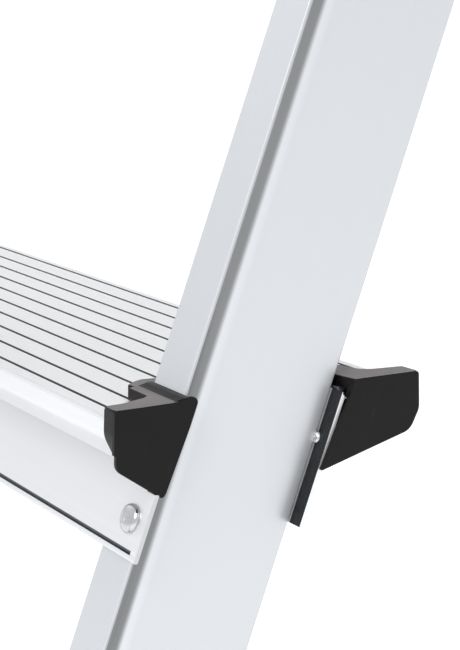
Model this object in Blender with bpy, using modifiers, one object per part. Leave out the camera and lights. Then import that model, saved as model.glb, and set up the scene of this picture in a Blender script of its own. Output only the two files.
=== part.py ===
"""Rolling warehouse ladder in aluminium: four treads, a guarded platform and four braked swivel castors.

Metres, +Z up. X runs across the ladder, +X is its right-hand side. The climber faces +Y.
The origin is on the floor, under the middle of the ladder's outer box.
"""

import math

import bmesh
import bpy
from mathutils import Matrix, Vector

# Driving dimensions
HALF_WIDTH = 0.300  # to the lip of a stile, on either side
GAP = 0.0003  # between pieces that touch

LEAN = math.radians(19.81)  # of the front stiles, from the vertical
RISE = 0.250  # from one tread to the next
FIRST_TREAD = 0.260  # height of the lowest tread's top
TREADS = 4
PLATFORM = FIRST_TREAD + TREADS * RISE

STILE_FRONT = 0.0668  # front face of a stile, behind a tread's own datum, at that tread's top
STILE_WIDTH = 0.0208
STILE_DEPTH = 0.0607  # square to its front face
STILE_WALL = 0.0018
WEB_RECESS = 0.0030  # of the outer wall, behind the front lip
LIP = 0.0013
COVE_END = 0.0088

TREAD_SHEET = 0.0018
TREAD_END = 0.0050  # the aprons reach this far past a stile's lip
TREAD_TRIM = 0.0276  # depth to which a tread's end is cut back for the end plates of its caps
NOSE_FRONT = 0.0408
NOSE_REAR = 0.1612
NOSE_DROP = 0.0140
APRON_DROP = 0.0490
GROOVES = 10
GROOVE_PITCH = 0.0120
FIRST_GROOVE = 0.0484
GROOVE_WIDTH = 0.0014
GROOVE_DEPTH = 0.0012
LIP_HEIGHT = 0.0018  # of the plain lip along an apron's lower edge, below its own groove
LIP_GROOVE = 0.0013

CAP_TOP = 0.0044
CAP_RIDGE = 0.0056  # against the stile
CAP_OVERLAP = 0.0034  # of a front cap's end plate over the stile's side
CAP_PLATE_INNER = 0.0020  # where a cap's top and walls meet its end plate
NOSE_INSET = 0.0026  # the front nose is cut back this far for the wall of its cap

WHEEL_RADIUS = 0.0625
WHEEL_SIDES = 24
WHEEL_WIDTH = 0.032
RIM_RADIUS = 0.0450
AXLE_RADIUS = 0.0050
AXLE_CLEARANCE = 0.0005
TRAIL = 0.036
FORK_CLEARANCE = 0.0025
FORK_SHEET = 0.003
FORK_TOP = 0.142
FORK_FRONT = -0.026
FORK_REAR = 0.036
BRIDGE_THICKNESS = 0.006
CROWN_RADIUS = 0.028
AXLE_NUT = 0.004
PEDAL_Y = 0.044  # of the pedal's pivot, behind the swivel axis
PEDAL_Z = 0.140
AXLE_HEIGHT = WHEEL_RADIUS * math.cos(math.pi / WHEEL_SIDES)
CASTOR_TOP = 0.1550

BASE_FRONT = -0.070
BASE_REAR = 1.110
BASE_WIDTH = 0.040
BASE_HEIGHT = 0.050
BASE_TOP = CASTOR_TOP + GAP + BASE_HEIGHT
CASTOR_INSET_X = 0.020
CASTOR_FRONT = 0.045
CASTOR_REAR = 1.060

TUBE_WALL = 0.002
LEG_SIZE = 0.040
LEG_FRONT = 1.000
BRACE_LOW = 0.340
BRACE_HIGH = 1.080
BRACE_THICKNESS = 0.005
BRACE_END_RADIUS = 0.015
BRACE_OVERHANG = 0.012  # past the leg's middle line

DECK_THICKNESS = 0.030
DECK_SHEET = 0.0025
DECK_RIBS = 6
BEAM_HEIGHT = 0.060
BEAM_WIDTH = 0.025
BEAM_INSET = 0.004
POST_Y = 0.560
POST_X = HALF_WIDTH - 0.020
POST_RADIUS = 0.020
GUARD_TOP = PLATFORM + 0.960
TOP_RAIL = PLATFORM + 0.935
KNEE_RAIL = PLATFORM + 0.480
RAIL_RADIUS = 0.015
TOE_BOARD = 0.100
TOE_BOARD_THICKNESS = 0.006
TOE_BOARD_INSET = 0.010  # behind the front face of the rear legs
HANDRAIL_OFFSET = 0.250  # of the handrail, square to the stile's front face
HANDRAIL_FOOT = 0.580
HANDRAIL_X = HALF_WIDTH - 0.0152
HANDRAIL_BENDS = (0.070, 0.050)  # radii, lower and upper
SAFETY_BAR = PLATFORM + 0.700
BAR_RADIUS = 0.0125
BAR_PIVOT = 0.232  # from the middle of the ladder
BAR_TAIL = 0.010  # past the pivot
BAR_SLOT = 2 * BAR_RADIUS + 0.002  # between the cheeks of the clevis and of the catch
BRACKET_HALF = 0.018  # half of a bracket's width across the bar
BRACKET_ROOT = POST_X - 0.010  # inside the post, where a bracket joins it
CLEVIS_LOW = 0.018
CLEVIS_HIGH = 0.016
CLEVIS_END = BAR_PIVOT - 0.014
CATCH_END = BAR_PIVOT - 0.016
CATCH_FLOOR = 0.005
CATCH_WALL = 0.030
PIN_RADIUS = 0.004
PIN_BORE = 0.0045
PIN_HALF = 0.020

SLOPE = math.tan(LEAN)
STILE_RUN = STILE_DEPTH / math.cos(LEAN)  # front to back, measured level
HEEL = CASTOR_REAR + TRAIL + AXLE_HEIGHT
CENTRE_Y = (BASE_FRONT + HEEL) / 2

COLOURS = {
    "aluminium": ((0.80, 0.81, 0.83), 0.38, 0.9),
    "tread_aluminium": ((0.84, 0.84, 0.84), 0.45, 0.9),
    "black_plastic": ((0.018, 0.016, 0.017), 0.45, 0.0),
    "grey_rubber": ((0.16, 0.16, 0.17), 0.75, 0.0),
    "zinc_steel": ((0.62, 0.63, 0.65), 0.32, 1.0),
    "red_plastic": ((0.55, 0.03, 0.02), 0.40, 0.0),
}


# Scene set-up


def clear_scene():
    for obj in list(bpy.data.objects):
        bpy.data.objects.remove(obj, do_unlink=True)


def new_collection(name):
    collection = bpy.data.collections.new(name)
    bpy.context.scene.collection.children.link(collection)
    return collection


def make_material(name):
    colour, roughness, metallic = COLOURS[name]
    material = bpy.data.materials.new(name)
    material.use_nodes = True
    shader = material.node_tree.nodes["Principled BSDF"]
    shader.inputs["Base Color"].default_value = (*colour, 1.0)
    shader.inputs["Roughness"].default_value = roughness
    shader.inputs["Metallic"].default_value = metallic
    return material


clear_scene()
PARTS = new_collection("rolling_warehouse_ladder")
CUTTERS = new_collection("cutters")
CUTTERS.hide_render = True
MATERIALS = {name: make_material(name) for name in COLOURS}


def add_object(name, mesh, material, location=(0, 0, 0)):
    """A named piece of the ladder from a finished mesh."""
    obj = bpy.data.objects.new(name, mesh)
    obj.location = location
    if not mesh.materials:
        mesh.materials.append(MATERIALS[material])
    PARTS.objects.link(obj)


def add_cutter(name, mesh):
    cutter = bpy.data.objects.new(name, mesh)
    cutter.hide_render = True
    cutter.display_type = "WIRE"
    CUTTERS.objects.link(cutter)
    return cutter


# Shapes


def mesh_from(bm, name):
    bmesh.ops.recalc_face_normals(bm, faces=bm.faces)
    if bm.calc_volume(signed=True) < 0:
        bmesh.ops.reverse_faces(bm, faces=bm.faces)
    mesh = bpy.data.meshes.new(name)
    bm.to_mesh(mesh)
    bm.free()
    return mesh


def box_mesh(name, low, high):
    low = Vector(low)
    high = Vector(high)
    bm = bmesh.new()
    place = Matrix.Translation((low + high) / 2) @ Matrix.Diagonal((*(high - low), 1.0))
    bmesh.ops.create_cube(bm, size=1.0, matrix=place)
    return mesh_from(bm, name)


def rod_mesh(name, start, end, radius, sides=16):
    """A straight round bar from one point to another."""
    start = Vector(start)
    end = Vector(end)
    along = end - start
    turn = along.to_track_quat("Z", "Y").to_matrix().to_4x4()
    bm = bmesh.new()
    bmesh.ops.create_cone(
        bm,
        cap_ends=True,
        segments=sides,
        radius1=radius,
        radius2=radius,
        depth=along.length,
        matrix=Matrix.Translation((start + end) / 2) @ turn,
    )
    mesh = mesh_from(bm, name)
    shade_round(mesh)
    return mesh


def shade_round(mesh):
    mesh.shade_smooth()
    mesh.set_sharp_from_angle(angle=math.radians(35))


def outline_mesh(name, loops, thickness, turn):
    """A flat outline, with any holes as further loops, given its thickness and then turned into place."""
    curve = bpy.data.curves.new(name, "CURVE")
    curve.dimensions = "2D"
    curve.fill_mode = "BOTH"
    curve.extrude = thickness / 2
    for loop in loops:
        spline = curve.splines.new("POLY")
        spline.points.add(len(loop) - 1)
        for point, (u, v) in zip(spline.points, loop):
            point.co = (u, v, 0, 1)
        spline.use_cyclic_u = True
    obj = bpy.data.objects.new(name, curve)
    CUTTERS.objects.link(obj)
    graph = bpy.context.evaluated_depsgraph_get()
    mesh = bpy.data.meshes.new_from_object(obj.evaluated_get(graph))
    bpy.data.objects.remove(obj, do_unlink=True)
    bm = bmesh.new()
    bm.from_mesh(mesh)
    bpy.data.meshes.remove(mesh)
    bmesh.ops.remove_doubles(bm, verts=bm.verts, dist=1e-6)
    bmesh.ops.dissolve_limit(bm, angle_limit=math.radians(0.05), verts=bm.verts, edges=bm.edges)
    bm.transform(turn)
    return mesh_from(bm, name)


# Drawings in (Y, Z), (X, Y) and (X, Z), each given its thickness along the third axis
SIDE_VIEW = Matrix(((0, 0, 1, 0), (1, 0, 0, 0), (0, 1, 0, 0), (0, 0, 0, 1)))
PLAN_VIEW = Matrix.Identity(4)
FRONT_VIEW = Matrix(((1, 0, 0, 0), (0, 0, -1, 0), (0, 1, 0, 0), (0, 0, 0, 1)))


def side_plate(name, loops, low_x, high_x):
    turn = Matrix.Translation(((low_x + high_x) / 2, 0, 0)) @ SIDE_VIEW
    return outline_mesh(name, loops, high_x - low_x, turn)


def plan_plate(name, loops, low_z, high_z):
    turn = Matrix.Translation((0, 0, (low_z + high_z) / 2))
    return outline_mesh(name, loops, high_z - low_z, turn)


def arc(centre, radius, start, end, steps):
    """Points on an arc, with its angles in degrees."""
    points = []
    for step in range(steps + 1):
        angle = math.radians(start + (end - start) * step / steps)
        points.append((centre[0] + radius * math.cos(angle), centre[1] + radius * math.sin(angle)))
    return points


def box_tube(name, low, high, along):
    """A hollow box section with open ends, running along "X", "Y" or "Z"."""
    turn = {"X": SIDE_VIEW, "Y": FRONT_VIEW, "Z": PLAN_VIEW}[along]
    u_axis, v_axis, length_axis = {"X": (1, 2, 0), "Y": (0, 2, 1), "Z": (0, 1, 2)}[along]
    middle = [(a + b) / 2 for a, b in zip(low, high)]
    loops = []
    for inset in (0, TUBE_WALL):
        u = (high[u_axis] - low[u_axis]) / 2 - inset
        v = (high[v_axis] - low[v_axis]) / 2 - inset
        loops.append([(-u, -v), (u, -v), (u, v), (-u, v)])
    length = high[length_axis] - low[length_axis]
    return outline_mesh(name, loops, length, Matrix.Translation(middle) @ turn)


def round_tube(name, start, end, radius, sides=16):
    """A straight hollow tube with open ends."""
    start = Vector(start)
    end = Vector(end)
    turn = (end - start).to_track_quat("Z", "Y").to_matrix().to_4x4()
    step = 2 * math.pi / sides
    loops = []
    for size in (radius, radius - TUBE_WALL):
        loops.append([(size * math.cos(step * i), size * math.sin(step * i)) for i in range(sides)])
    mesh = outline_mesh(name, loops, (end - start).length, Matrix.Translation((start + end) / 2) @ turn)
    shade_round(mesh)
    return mesh


def combine(name, mesh, others, operation):
    """One mesh with others added to it or cut from it."""
    body = bpy.data.objects.new(name, mesh)
    CUTTERS.objects.link(body)
    for number, other in enumerate(others):
        modifier = body.modifiers.new("combine", "BOOLEAN")
        modifier.operation = operation
        modifier.object = add_cutter(f"{name}_cutter_{number}", other)
    graph = bpy.context.evaluated_depsgraph_get()
    result = bpy.data.meshes.new_from_object(body.evaluated_get(graph))
    result.name = name
    for modifier in body.modifiers:
        bpy.data.objects.remove(modifier.object, do_unlink=True)
    bpy.data.objects.remove(body, do_unlink=True)
    return result


def sliced(mesh, point, normal):
    """The mesh with all that lies beyond a plane removed and the cut closed."""
    bm = bmesh.new()
    bm.from_mesh(mesh)
    cut = bmesh.ops.bisect_plane(
        bm,
        geom=bm.verts[:] + bm.edges[:] + bm.faces[:],
        plane_co=point,
        plane_no=normal,
        clear_outer=True,
    )
    edges = [item for item in cut["geom_cut"] if isinstance(item, bmesh.types.BMEdge)]
    bmesh.ops.triangle_fill(bm, use_beauty=True, edges=edges)
    bmesh.ops.recalc_face_normals(bm, faces=bm.faces)
    if bm.calc_volume(signed=True) < 0:
        bmesh.ops.reverse_faces(bm, faces=bm.faces)
    bm.to_mesh(mesh)
    bm.free()
    return mesh


def mirrored(mesh):
    """A left-hand copy of a right-hand mesh."""
    copy = mesh.copy()
    bm = bmesh.new()
    bm.from_mesh(copy)
    bm.transform(Matrix.Diagonal((-1, 1, 1, 1)))
    bmesh.ops.reverse_faces(bm, faces=bm.faces)
    bm.to_mesh(copy)
    bm.free()
    return copy


def both_sides(name, mesh, material, location=(0, 0, 0)):
    """A right-hand piece and its mirror image on the left."""
    x, y, z = location
    add_object(f"{name}_right", mesh, material, (x, y, z))
    add_object(f"{name}_left", mirrored(mesh), material, (-x, y, z))


# The stiles and the treads share a datum: at each tread's height it steps back along the lean


def tread_y(height):
    return (height - FIRST_TREAD) * SLOPE


def stile_front_y(height):
    return tread_y(height) + STILE_FRONT


def stile_back_y(height):
    return stile_front_y(height) + STILE_RUN


def stile_outline():
    """Section of the right stile, from its lip at x = 0. A cove runs from the lip back to the web."""
    turns = [math.radians(90 * step / 6) for step in range(7)]
    cove = [(-WEB_RECESS * math.sin(turn), LIP + (COVE_END - LIP) * (1 - math.cos(turn))) for turn in turns]
    inner_x = -STILE_WIDTH
    outer = [(inner_x, 0.0), (0.0, 0.0)] + cove + [(-WEB_RECESS, STILE_DEPTH), (inner_x, STILE_DEPTH)]
    wall = STILE_WALL
    hollow = [
        (inner_x + wall, wall),
        (-WEB_RECESS - wall, wall),
        (-WEB_RECESS - wall, STILE_DEPTH - wall),
        (inner_x + wall, STILE_DEPTH - wall),
    ]
    return [outer, hollow]


def add_stiles():
    top = PLATFORM - DECK_THICKNESS - GAP
    foot = BASE_TOP + GAP
    length = (top - foot) / math.cos(LEAN) + 0.2
    turn = Matrix.Rotation(-LEAN, 4, "X")
    middle = (top + foot) / 2
    mesh = outline_mesh("stile", stile_outline(), length, turn)
    bm = bmesh.new()
    bm.from_mesh(mesh)
    bm.transform(Matrix.Translation((0, stile_front_y(middle), middle)))
    bm.to_mesh(mesh)
    bm.free()
    sliced(mesh, (0, 0, top), (0, 0, 1))
    sliced(mesh, (0, 0, foot), (0, 0, -1))
    both_sides("stile", mesh, "aluminium", (HALF_WIDTH, 0, 0))


def apron_line(behind, height):
    """A point of an apron's drawing, from its distance behind the stile's front plane and its height."""
    return (STILE_FRONT + behind + SLOPE * height, height)


def tread_outline():
    """Section of a tread: a grooved top sheet, a nose at either edge, and two sloping aprons."""
    sheet = TREAD_SHEET
    top = []
    for number in range(GROOVES):
        middle = FIRST_GROOVE + number * GROOVE_PITCH
        near = middle - GROOVE_WIDTH / 2
        far = middle + GROOVE_WIDTH / 2
        top += [(near, 0), (near, -GROOVE_DEPTH), (far, -GROOVE_DEPTH), (far, 0)]

    def nose(edge, inward):
        outer = [(edge + inward * 0.0008, 0), (edge, -0.0008), (edge, -0.0062)]
        outer += [(edge + inward * 0.0012, -0.0102), (edge + inward * 0.0034, -NOSE_DROP)]
        inner = [(edge + inward * 0.0054, -NOSE_DROP + 0.0006), (edge + inward * 0.0030, -0.0096)]
        inner += [(edge + inward * sheet, -0.0058), (edge + inward * sheet, -sheet)]
        return outer, inner

    front_outer, front_inner = nose(NOSE_FRONT, 1)
    rear_outer, rear_inner = nose(NOSE_REAR, -1)
    lip_low = -APRON_DROP
    groove_low = lip_low + LIP_HEIGHT
    groove_high = groove_low + LIP_GROOVE
    front = -GAP - sheet
    back = STILE_RUN + GAP
    root = -sheet - 0.0008  # each apron is a little thicker where it leaves the top sheet
    front_apron = [
        apron_line(front, root),
        apron_line(front, groove_high),
        apron_line(front + GROOVE_DEPTH, groove_high),
        apron_line(front + GROOVE_DEPTH, groove_low),
        apron_line(front, groove_low),
        apron_line(front, lip_low),
        apron_line(front + sheet, lip_low),
        apron_line(front + sheet, -sheet),
    ]
    rear_apron = [
        apron_line(back, -sheet),
        apron_line(back, lip_low),
        apron_line(back + sheet, lip_low),
        apron_line(back + sheet, root),
    ]
    under = front_inner + front_apron + rear_apron + rear_inner[::-1]
    return top + rear_outer + under[::-1] + front_outer[::-1]


def tread_mesh():
    reach = HALF_WIDTH + TREAD_END
    mesh = side_plate("tread", [tread_outline()], -reach, reach)
    cutters = []
    for side in (-1, 1):
        # Where the stile passes through, between the two aprons
        clear = 1.2 * GAP
        passage = [apron_line(-clear, 0.02), apron_line(STILE_RUN + clear, 0.02)]
        passage += [apron_line(STILE_RUN + clear, -0.08), apron_line(-clear, -0.08)]
        inner = HALF_WIDTH - STILE_WIDTH - GAP
        cutters.append(side_plate("passage", [passage], *sorted((side * inner, side * (reach + 0.01)))))
        # Where the end caps' plates stand beyond the front nose and the rear nose
        cutters.append(end_trim(side, 0, -0.01, STILE_FRONT + 0.004, TREAD_TRIM))
        cutters.append(end_trim(side, NOSE_INSET, -0.02, NOSE_FRONT + 0.0056, NOSE_DROP + 0.004))
        rear_start = STILE_FRONT + STILE_RUN + GAP + TREAD_SHEET + 0.001
        cutters.append(end_trim(side, 0, rear_start, NOSE_REAR + 0.01, TREAD_TRIM))
    return combine("tread", mesh, cutters, "DIFFERENCE")


def end_trim(side, inset, near, far, drop):
    """A block that trims one end of a tread back to the stile's lip, or further by an inset."""
    ends = sorted((side * (HALF_WIDTH - inset), side * (HALF_WIDTH + TREAD_END + 0.01)))
    return box_mesh("trim", (ends[0], near, -drop), (ends[1], far, 0.01))


def tread_height(number):
    return FIRST_TREAD + number * RISE


def add_treads():
    mesh = tread_mesh()
    for number in range(TREADS):
        height = tread_height(number)
        add_object(f"tread_{number + 1}", mesh, "tread_aluminium", (0, tread_y(height), height))


def front_cap_mesh():
    """Right front cap, from the stile's lip at x = 0: end plate, top with a finger, and front wall."""
    border = STILE_FRONT + CAP_OVERLAP
    plate = [
        (0.0400, CAP_TOP - 0.0010),
        (0.0410, CAP_TOP),
        (0.0620, CAP_TOP),
        (STILE_FRONT, CAP_RIDGE),
        (border + SLOPE * CAP_RIDGE - 0.0020, CAP_RIDGE),
        (border + SLOPE * 0.0030, 0.0030),
        (border - SLOPE * 0.0262, -0.0262),
        (0.0582, -0.0272),
        (0.0428, -0.0178),
        (0.0408, -0.0152),
        (0.0406, -0.0112),
        (0.0400, -0.0104),
    ]
    end_plate = side_plate("plate", [plate], GAP, TREAD_END)
    front = STILE_FRONT - GAP
    side = -STILE_WIDTH - GAP
    plan = [
        (CAP_PLATE_INNER, 0.0402),
        (CAP_PLATE_INNER, front),
        (side, front),
        (side, 0.0745),
        (-0.0298, 0.0745),
        (-0.0303, 0.0690),
        (-0.0288, 0.0654),
        (-0.0254, 0.0613),
        (-0.0192, 0.0618),
        (-0.0116, 0.0616),
        (-0.0070, 0.0574),
        (-0.0034, 0.0466),
        (-0.0028, 0.0402),
    ]
    top = plan_plate("top", [plan], GAP, CAP_TOP - 0.0002)
    wall_profile = [(0.0402, 0.0020), (0.0402, -0.0060), (0.0416, -0.0102), (0.0438, -0.0136)]
    wall_profile += [(0.0448, -0.0130), (0.0424, -0.0080), (0.0424, 0.0020)]
    front_wall = side_plate("wall", [wall_profile], -0.0026 + GAP, CAP_PLATE_INNER)
    ridge_profile = [(0.0600, 0.0020), (0.0640, CAP_TOP + 0.0001), (front - 0.0004, CAP_RIDGE - 0.0002)]
    ridge_profile += [(front, CAP_RIDGE - 0.0002), (front, 0.0020)]
    ridge = side_plate("ridge", [ridge_profile], side + 0.0002, CAP_PLATE_INNER)
    return combine("front_cap", end_plate, [top, front_wall, ridge], "UNION")


def rear_cap_mesh():
    """Right rear cap: an end plate behind the rear apron, a top and a rear wall."""
    behind = STILE_FRONT + STILE_RUN + GAP + TREAD_SHEET + 0.0020
    plate = [
        (0.1356, CAP_TOP),
        (0.1630, CAP_TOP - 0.0001),
        (0.1640, CAP_TOP - 0.0012),
        (0.1642, -0.0104),
        (0.1632, -0.0140),
        (0.1602, -0.0170),
        (0.1248, -0.0266),
        (behind - SLOPE * 0.0262, -0.0262),
        (behind, 0.0002),
    ]
    end_plate = side_plate("plate", [plate], GAP, TREAD_END)
    plan = [
        (CAP_PLATE_INNER, 0.1366),
        (CAP_PLATE_INNER, 0.1634),
        (-0.0044, 0.1632),
        (-0.0060, 0.1500),
        (-0.0086, 0.1462),
        (-0.0166, 0.1446),
        (-0.0170, 0.1364),
    ]
    top = plan_plate("top", [plan], GAP, CAP_TOP - 0.0002)
    rear_wall = box_mesh("wall", (-0.0042, NOSE_REAR + GAP, -0.0090), (CAP_PLATE_INNER, 0.1632, 0.0020))
    return combine("rear_cap", end_plate, [top, rear_wall], "UNION")


def add_caps():
    front = front_cap_mesh()
    rear = rear_cap_mesh()
    for number in range(TREADS):
        height = tread_height(number)
        place = (HALF_WIDTH, tread_y(height), height)
        both_sides(f"cap_front_{number + 1}", front, "black_plastic", place)
        both_sides(f"cap_rear_{number + 1}", rear, "black_plastic", place)


def deck_outline():
    """Section of the platform's deck: a top sheet on ribs, with a skirt at the front and the back."""
    front = tread_y(PLATFORM) + NOSE_FRONT
    back = LEG_FRONT - GAP
    low = PLATFORM - DECK_THICKNESS
    under = PLATFORM - DECK_SHEET
    outline = [(back, PLATFORM), (front, PLATFORM)]
    spacing = (back - front - DECK_SHEET) / DECK_RIBS
    for rib in range(DECK_RIBS + 1):
        near = front + rib * spacing
        far = near + DECK_SHEET
        if rib:
            outline.append((near, under))
        outline += [(near, low), (far, low)]
        if rib < DECK_RIBS:
            outline.append((far, under))
    return outline


def add_platform():
    deck_low = PLATFORM - DECK_THICKNESS
    deck = side_plate("deck", [deck_outline()], -HALF_WIDTH, HALF_WIDTH)
    room = POST_RADIUS + GAP
    notches = []
    for side in (-1, 1):
        ends = sorted((side * (POST_X - room), side * (HALF_WIDTH + 0.01)))
        low = (ends[0], POST_Y - room, deck_low - 0.01)
        notches.append(box_mesh("notch", low, (ends[1], POST_Y + room, PLATFORM + 0.01)))
    add_object("platform_deck", combine("deck", deck, notches, "DIFFERENCE"), "tread_aluminium")
    beam_top = deck_low - GAP
    beam_outer = HALF_WIDTH - BEAM_INSET
    low = (beam_outer - BEAM_WIDTH, 0.3, beam_top - BEAM_HEIGHT)
    beam = box_tube("beam", low, (beam_outer, LEG_FRONT - GAP, beam_top), "Y")
    behind = (0, stile_back_y(beam_top) + GAP / math.cos(LEAN), beam_top)
    sliced(beam, behind, (0, -math.cos(LEAN), math.sin(LEAN)))
    both_sides("platform_beam", beam, "aluminium")
    side = HALF_WIDTH - LEG_SIZE - GAP
    toe_front = LEG_FRONT + TOE_BOARD_INSET
    toe_high = (side, toe_front + TOE_BOARD_THICKNESS, PLATFORM + TOE_BOARD)
    add_object("toe_board", box_mesh("toe", (-side, toe_front, deck_low), toe_high), "aluminium")


def add_base():
    low = (HALF_WIDTH - BASE_WIDTH, BASE_FRONT, BASE_TOP - BASE_HEIGHT)
    rail = box_tube("base_rail", low, (HALF_WIDTH, BASE_REAR, BASE_TOP), "Y")
    both_sides("base_rail", rail, "aluminium")
    side = HALF_WIDTH - BASE_WIDTH - GAP
    low = (-side, LEG_FRONT, BASE_TOP - BASE_HEIGHT + 0.005)
    bar = box_tube("cross_bar", low, (side, LEG_FRONT + LEG_SIZE, BASE_TOP - 0.005), "X")
    add_object("base_cross_bar", bar, "aluminium")
    low = (HALF_WIDTH - LEG_SIZE, LEG_FRONT, BASE_TOP + GAP)
    leg = box_tube("rear_leg", low, (HALF_WIDTH, LEG_FRONT + LEG_SIZE, GUARD_TOP), "Z")
    both_sides("rear_leg", leg, "aluminium")
    for name, direction, near in (
        ("rear_brace_a", 1, LEG_FRONT - GAP - BRACE_THICKNESS),
        ("rear_brace_b", -1, LEG_FRONT + LEG_SIZE + GAP),
    ):
        brace = brace_mesh(name, direction, near)
        add_object(name, brace, "aluminium")


def brace_mesh(name, direction, near):
    """A flat bar that crosses from one rear leg to the other."""
    reach = HALF_WIDTH - LEG_SIZE / 2
    drop = BRACE_HIGH - BRACE_LOW
    angle = math.atan2(drop, 2 * reach)
    radius = BRACE_END_RADIUS
    half = math.hypot(drop, 2 * reach) / 2 + BRACE_OVERHANG - radius
    outline = arc((half, 0), radius, -90, 90, 6) + arc((-half, 0), radius, 90, 270, 6)
    middle = (0, near + BRACE_THICKNESS / 2, (BRACE_HIGH + BRACE_LOW) / 2)
    turn = Matrix.Translation(middle) @ Matrix.Rotation(-direction * angle, 4, "Y") @ FRONT_VIEW
    return outline_mesh(name, [outline], BRACE_THICKNESS, turn)


def bracket_sides(low, high):
    """The two plates of a bracket that straddles the safety bar, between two corners in (X, Z)."""
    sides = []
    for near, far in ((-BRACKET_HALF, -BAR_SLOT / 2), (BAR_SLOT / 2, BRACKET_HALF)):
        sides.append(box_mesh("side", (low[0], POST_Y + near, low[1]), (high[0], POST_Y + far, high[1])))
    return sides


def add_guard_posts():
    """The posts stand on the beams. The left one holds the bar's clevis, the right one its catch."""
    foot = PLATFORM - DECK_THICKNESS
    right = round_tube("post", (POST_X, POST_Y, foot), (POST_X, POST_Y, GUARD_TOP), POST_RADIUS)
    left = round_tube("post", (-POST_X, POST_Y, foot), (-POST_X, POST_Y, GUARD_TOP), POST_RADIUS)
    bar_low = SAFETY_BAR - BAR_RADIUS
    floor_low = (CATCH_END, POST_Y - BRACKET_HALF, bar_low - CATCH_FLOOR)
    catch = [box_mesh("floor", floor_low, (BRACKET_ROOT, POST_Y + BRACKET_HALF, bar_low - GAP))]
    catch += bracket_sides((CATCH_END, bar_low - 0.003), (BRACKET_ROOT, bar_low + CATCH_WALL))
    clevis_low = (-BRACKET_ROOT, SAFETY_BAR - CLEVIS_LOW)
    clevis = bracket_sides(clevis_low, (-CLEVIS_END, SAFETY_BAR + CLEVIS_HIGH))
    pin_start = (-BAR_PIVOT, POST_Y - PIN_HALF, SAFETY_BAR)
    pin_end = (-BAR_PIVOT, POST_Y + PIN_HALF, SAFETY_BAR)
    clevis.append(rod_mesh("pin", pin_start, pin_end, PIN_RADIUS, 12))
    add_object("guard_post_right", combine("post_r", right, catch, "UNION"), "aluminium")
    add_object("guard_post_left", combine("post_l", left, clevis, "UNION"), "aluminium")


def add_safety_bar():
    bar = rod_mesh("bar", (-BAR_PIVOT - BAR_TAIL, 0, 0), (BAR_PIVOT, 0, 0), BAR_RADIUS)
    hole = rod_mesh("hole", (-BAR_PIVOT, -0.05, 0), (-BAR_PIVOT, 0.05, 0), PIN_BORE, 12)
    bar = combine("safety_bar", bar, [hole], "DIFFERENCE")
    bar.transform(Matrix.Translation((BAR_PIVOT, 0, 0)))
    add_object("safety_bar", bar, "red_plastic", (-BAR_PIVOT, POST_Y, SAFETY_BAR))


def add_guard_rails():
    start = POST_Y + POST_RADIUS + GAP
    end = LEG_FRONT - GAP
    side = HALF_WIDTH - LEG_SIZE - GAP
    back_y = LEG_FRONT + LEG_SIZE / 2
    for name, height in (("top_rail", TOP_RAIL), ("knee_rail", KNEE_RAIL)):
        rail = round_tube(name, (0, start, height), (0, end, height), RAIL_RADIUS)
        both_sides(name, rail, "aluminium", (POST_X, 0, 0))
        back = round_tube(name, (-side, back_y, height), (side, back_y, height), RAIL_RADIUS)
        add_object(f"{name}_rear", back, "aluminium")


def bent_route(corners, radii, steps):
    """A line through corners in the YZ plane, with each inner corner rounded."""
    route = [corners[0]]
    for before, corner, after, radius in zip(corners, corners[1:], corners[2:], radii):
        into = (Vector(corner) - Vector(before)).normalized()
        out = (Vector(after) - Vector(corner)).normalized()
        bend = math.acos(max(-1, min(1, into.dot(out))))
        setback = radius * math.tan(bend / 2)
        start = Vector(corner) - into * setback
        side = (out - into * out.dot(into)).normalized()
        for step in range(steps + 1):
            angle = bend * step / steps
            arm = into * math.sin(angle) + side * (1 - math.cos(angle))
            route.append(tuple(start + radius * arm))
    route.append(corners[-1])
    return route


def add_handrails():
    """A bent tube on either side: square out of the stile, up along it, and level back to the guard post."""
    foot_y = stile_front_y(HANDRAIL_FOOT)
    out = Vector((-math.cos(LEAN), math.sin(LEAN)))
    foot = Vector((foot_y, HANDRAIL_FOOT))
    elbow = foot + out * HANDRAIL_OFFSET
    rail_y = elbow.x + (TOP_RAIL - elbow.y) * SLOPE
    corners = [
        tuple(foot + out * GAP),
        tuple(elbow),
        (rail_y, TOP_RAIL),
        (POST_Y - POST_RADIUS - GAP, TOP_RAIL),
    ]
    route = bent_route(corners, HANDRAIL_BENDS, 6)
    for side, sign in (("right", 1), ("left", -1)):
        curve = bpy.data.curves.new(f"handrail_{side}", "CURVE")
        curve.dimensions = "3D"
        curve.bevel_depth = RAIL_RADIUS
        curve.bevel_resolution = 3
        curve.use_fill_caps = True
        spline = curve.splines.new("POLY")
        spline.points.add(len(route) - 1)
        for point, (y, z) in zip(spline.points, route):
            point.co = (0, y, z, 1)
        rail = bpy.data.objects.new(f"handrail_{side}", curve)
        rail.location = (sign * HANDRAIL_X, 0, 0)
        curve.materials.append(MATERIALS["aluminium"])
        PARTS.objects.link(rail)


# Castors, each drawn about its own swivel axis at the origin


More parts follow.
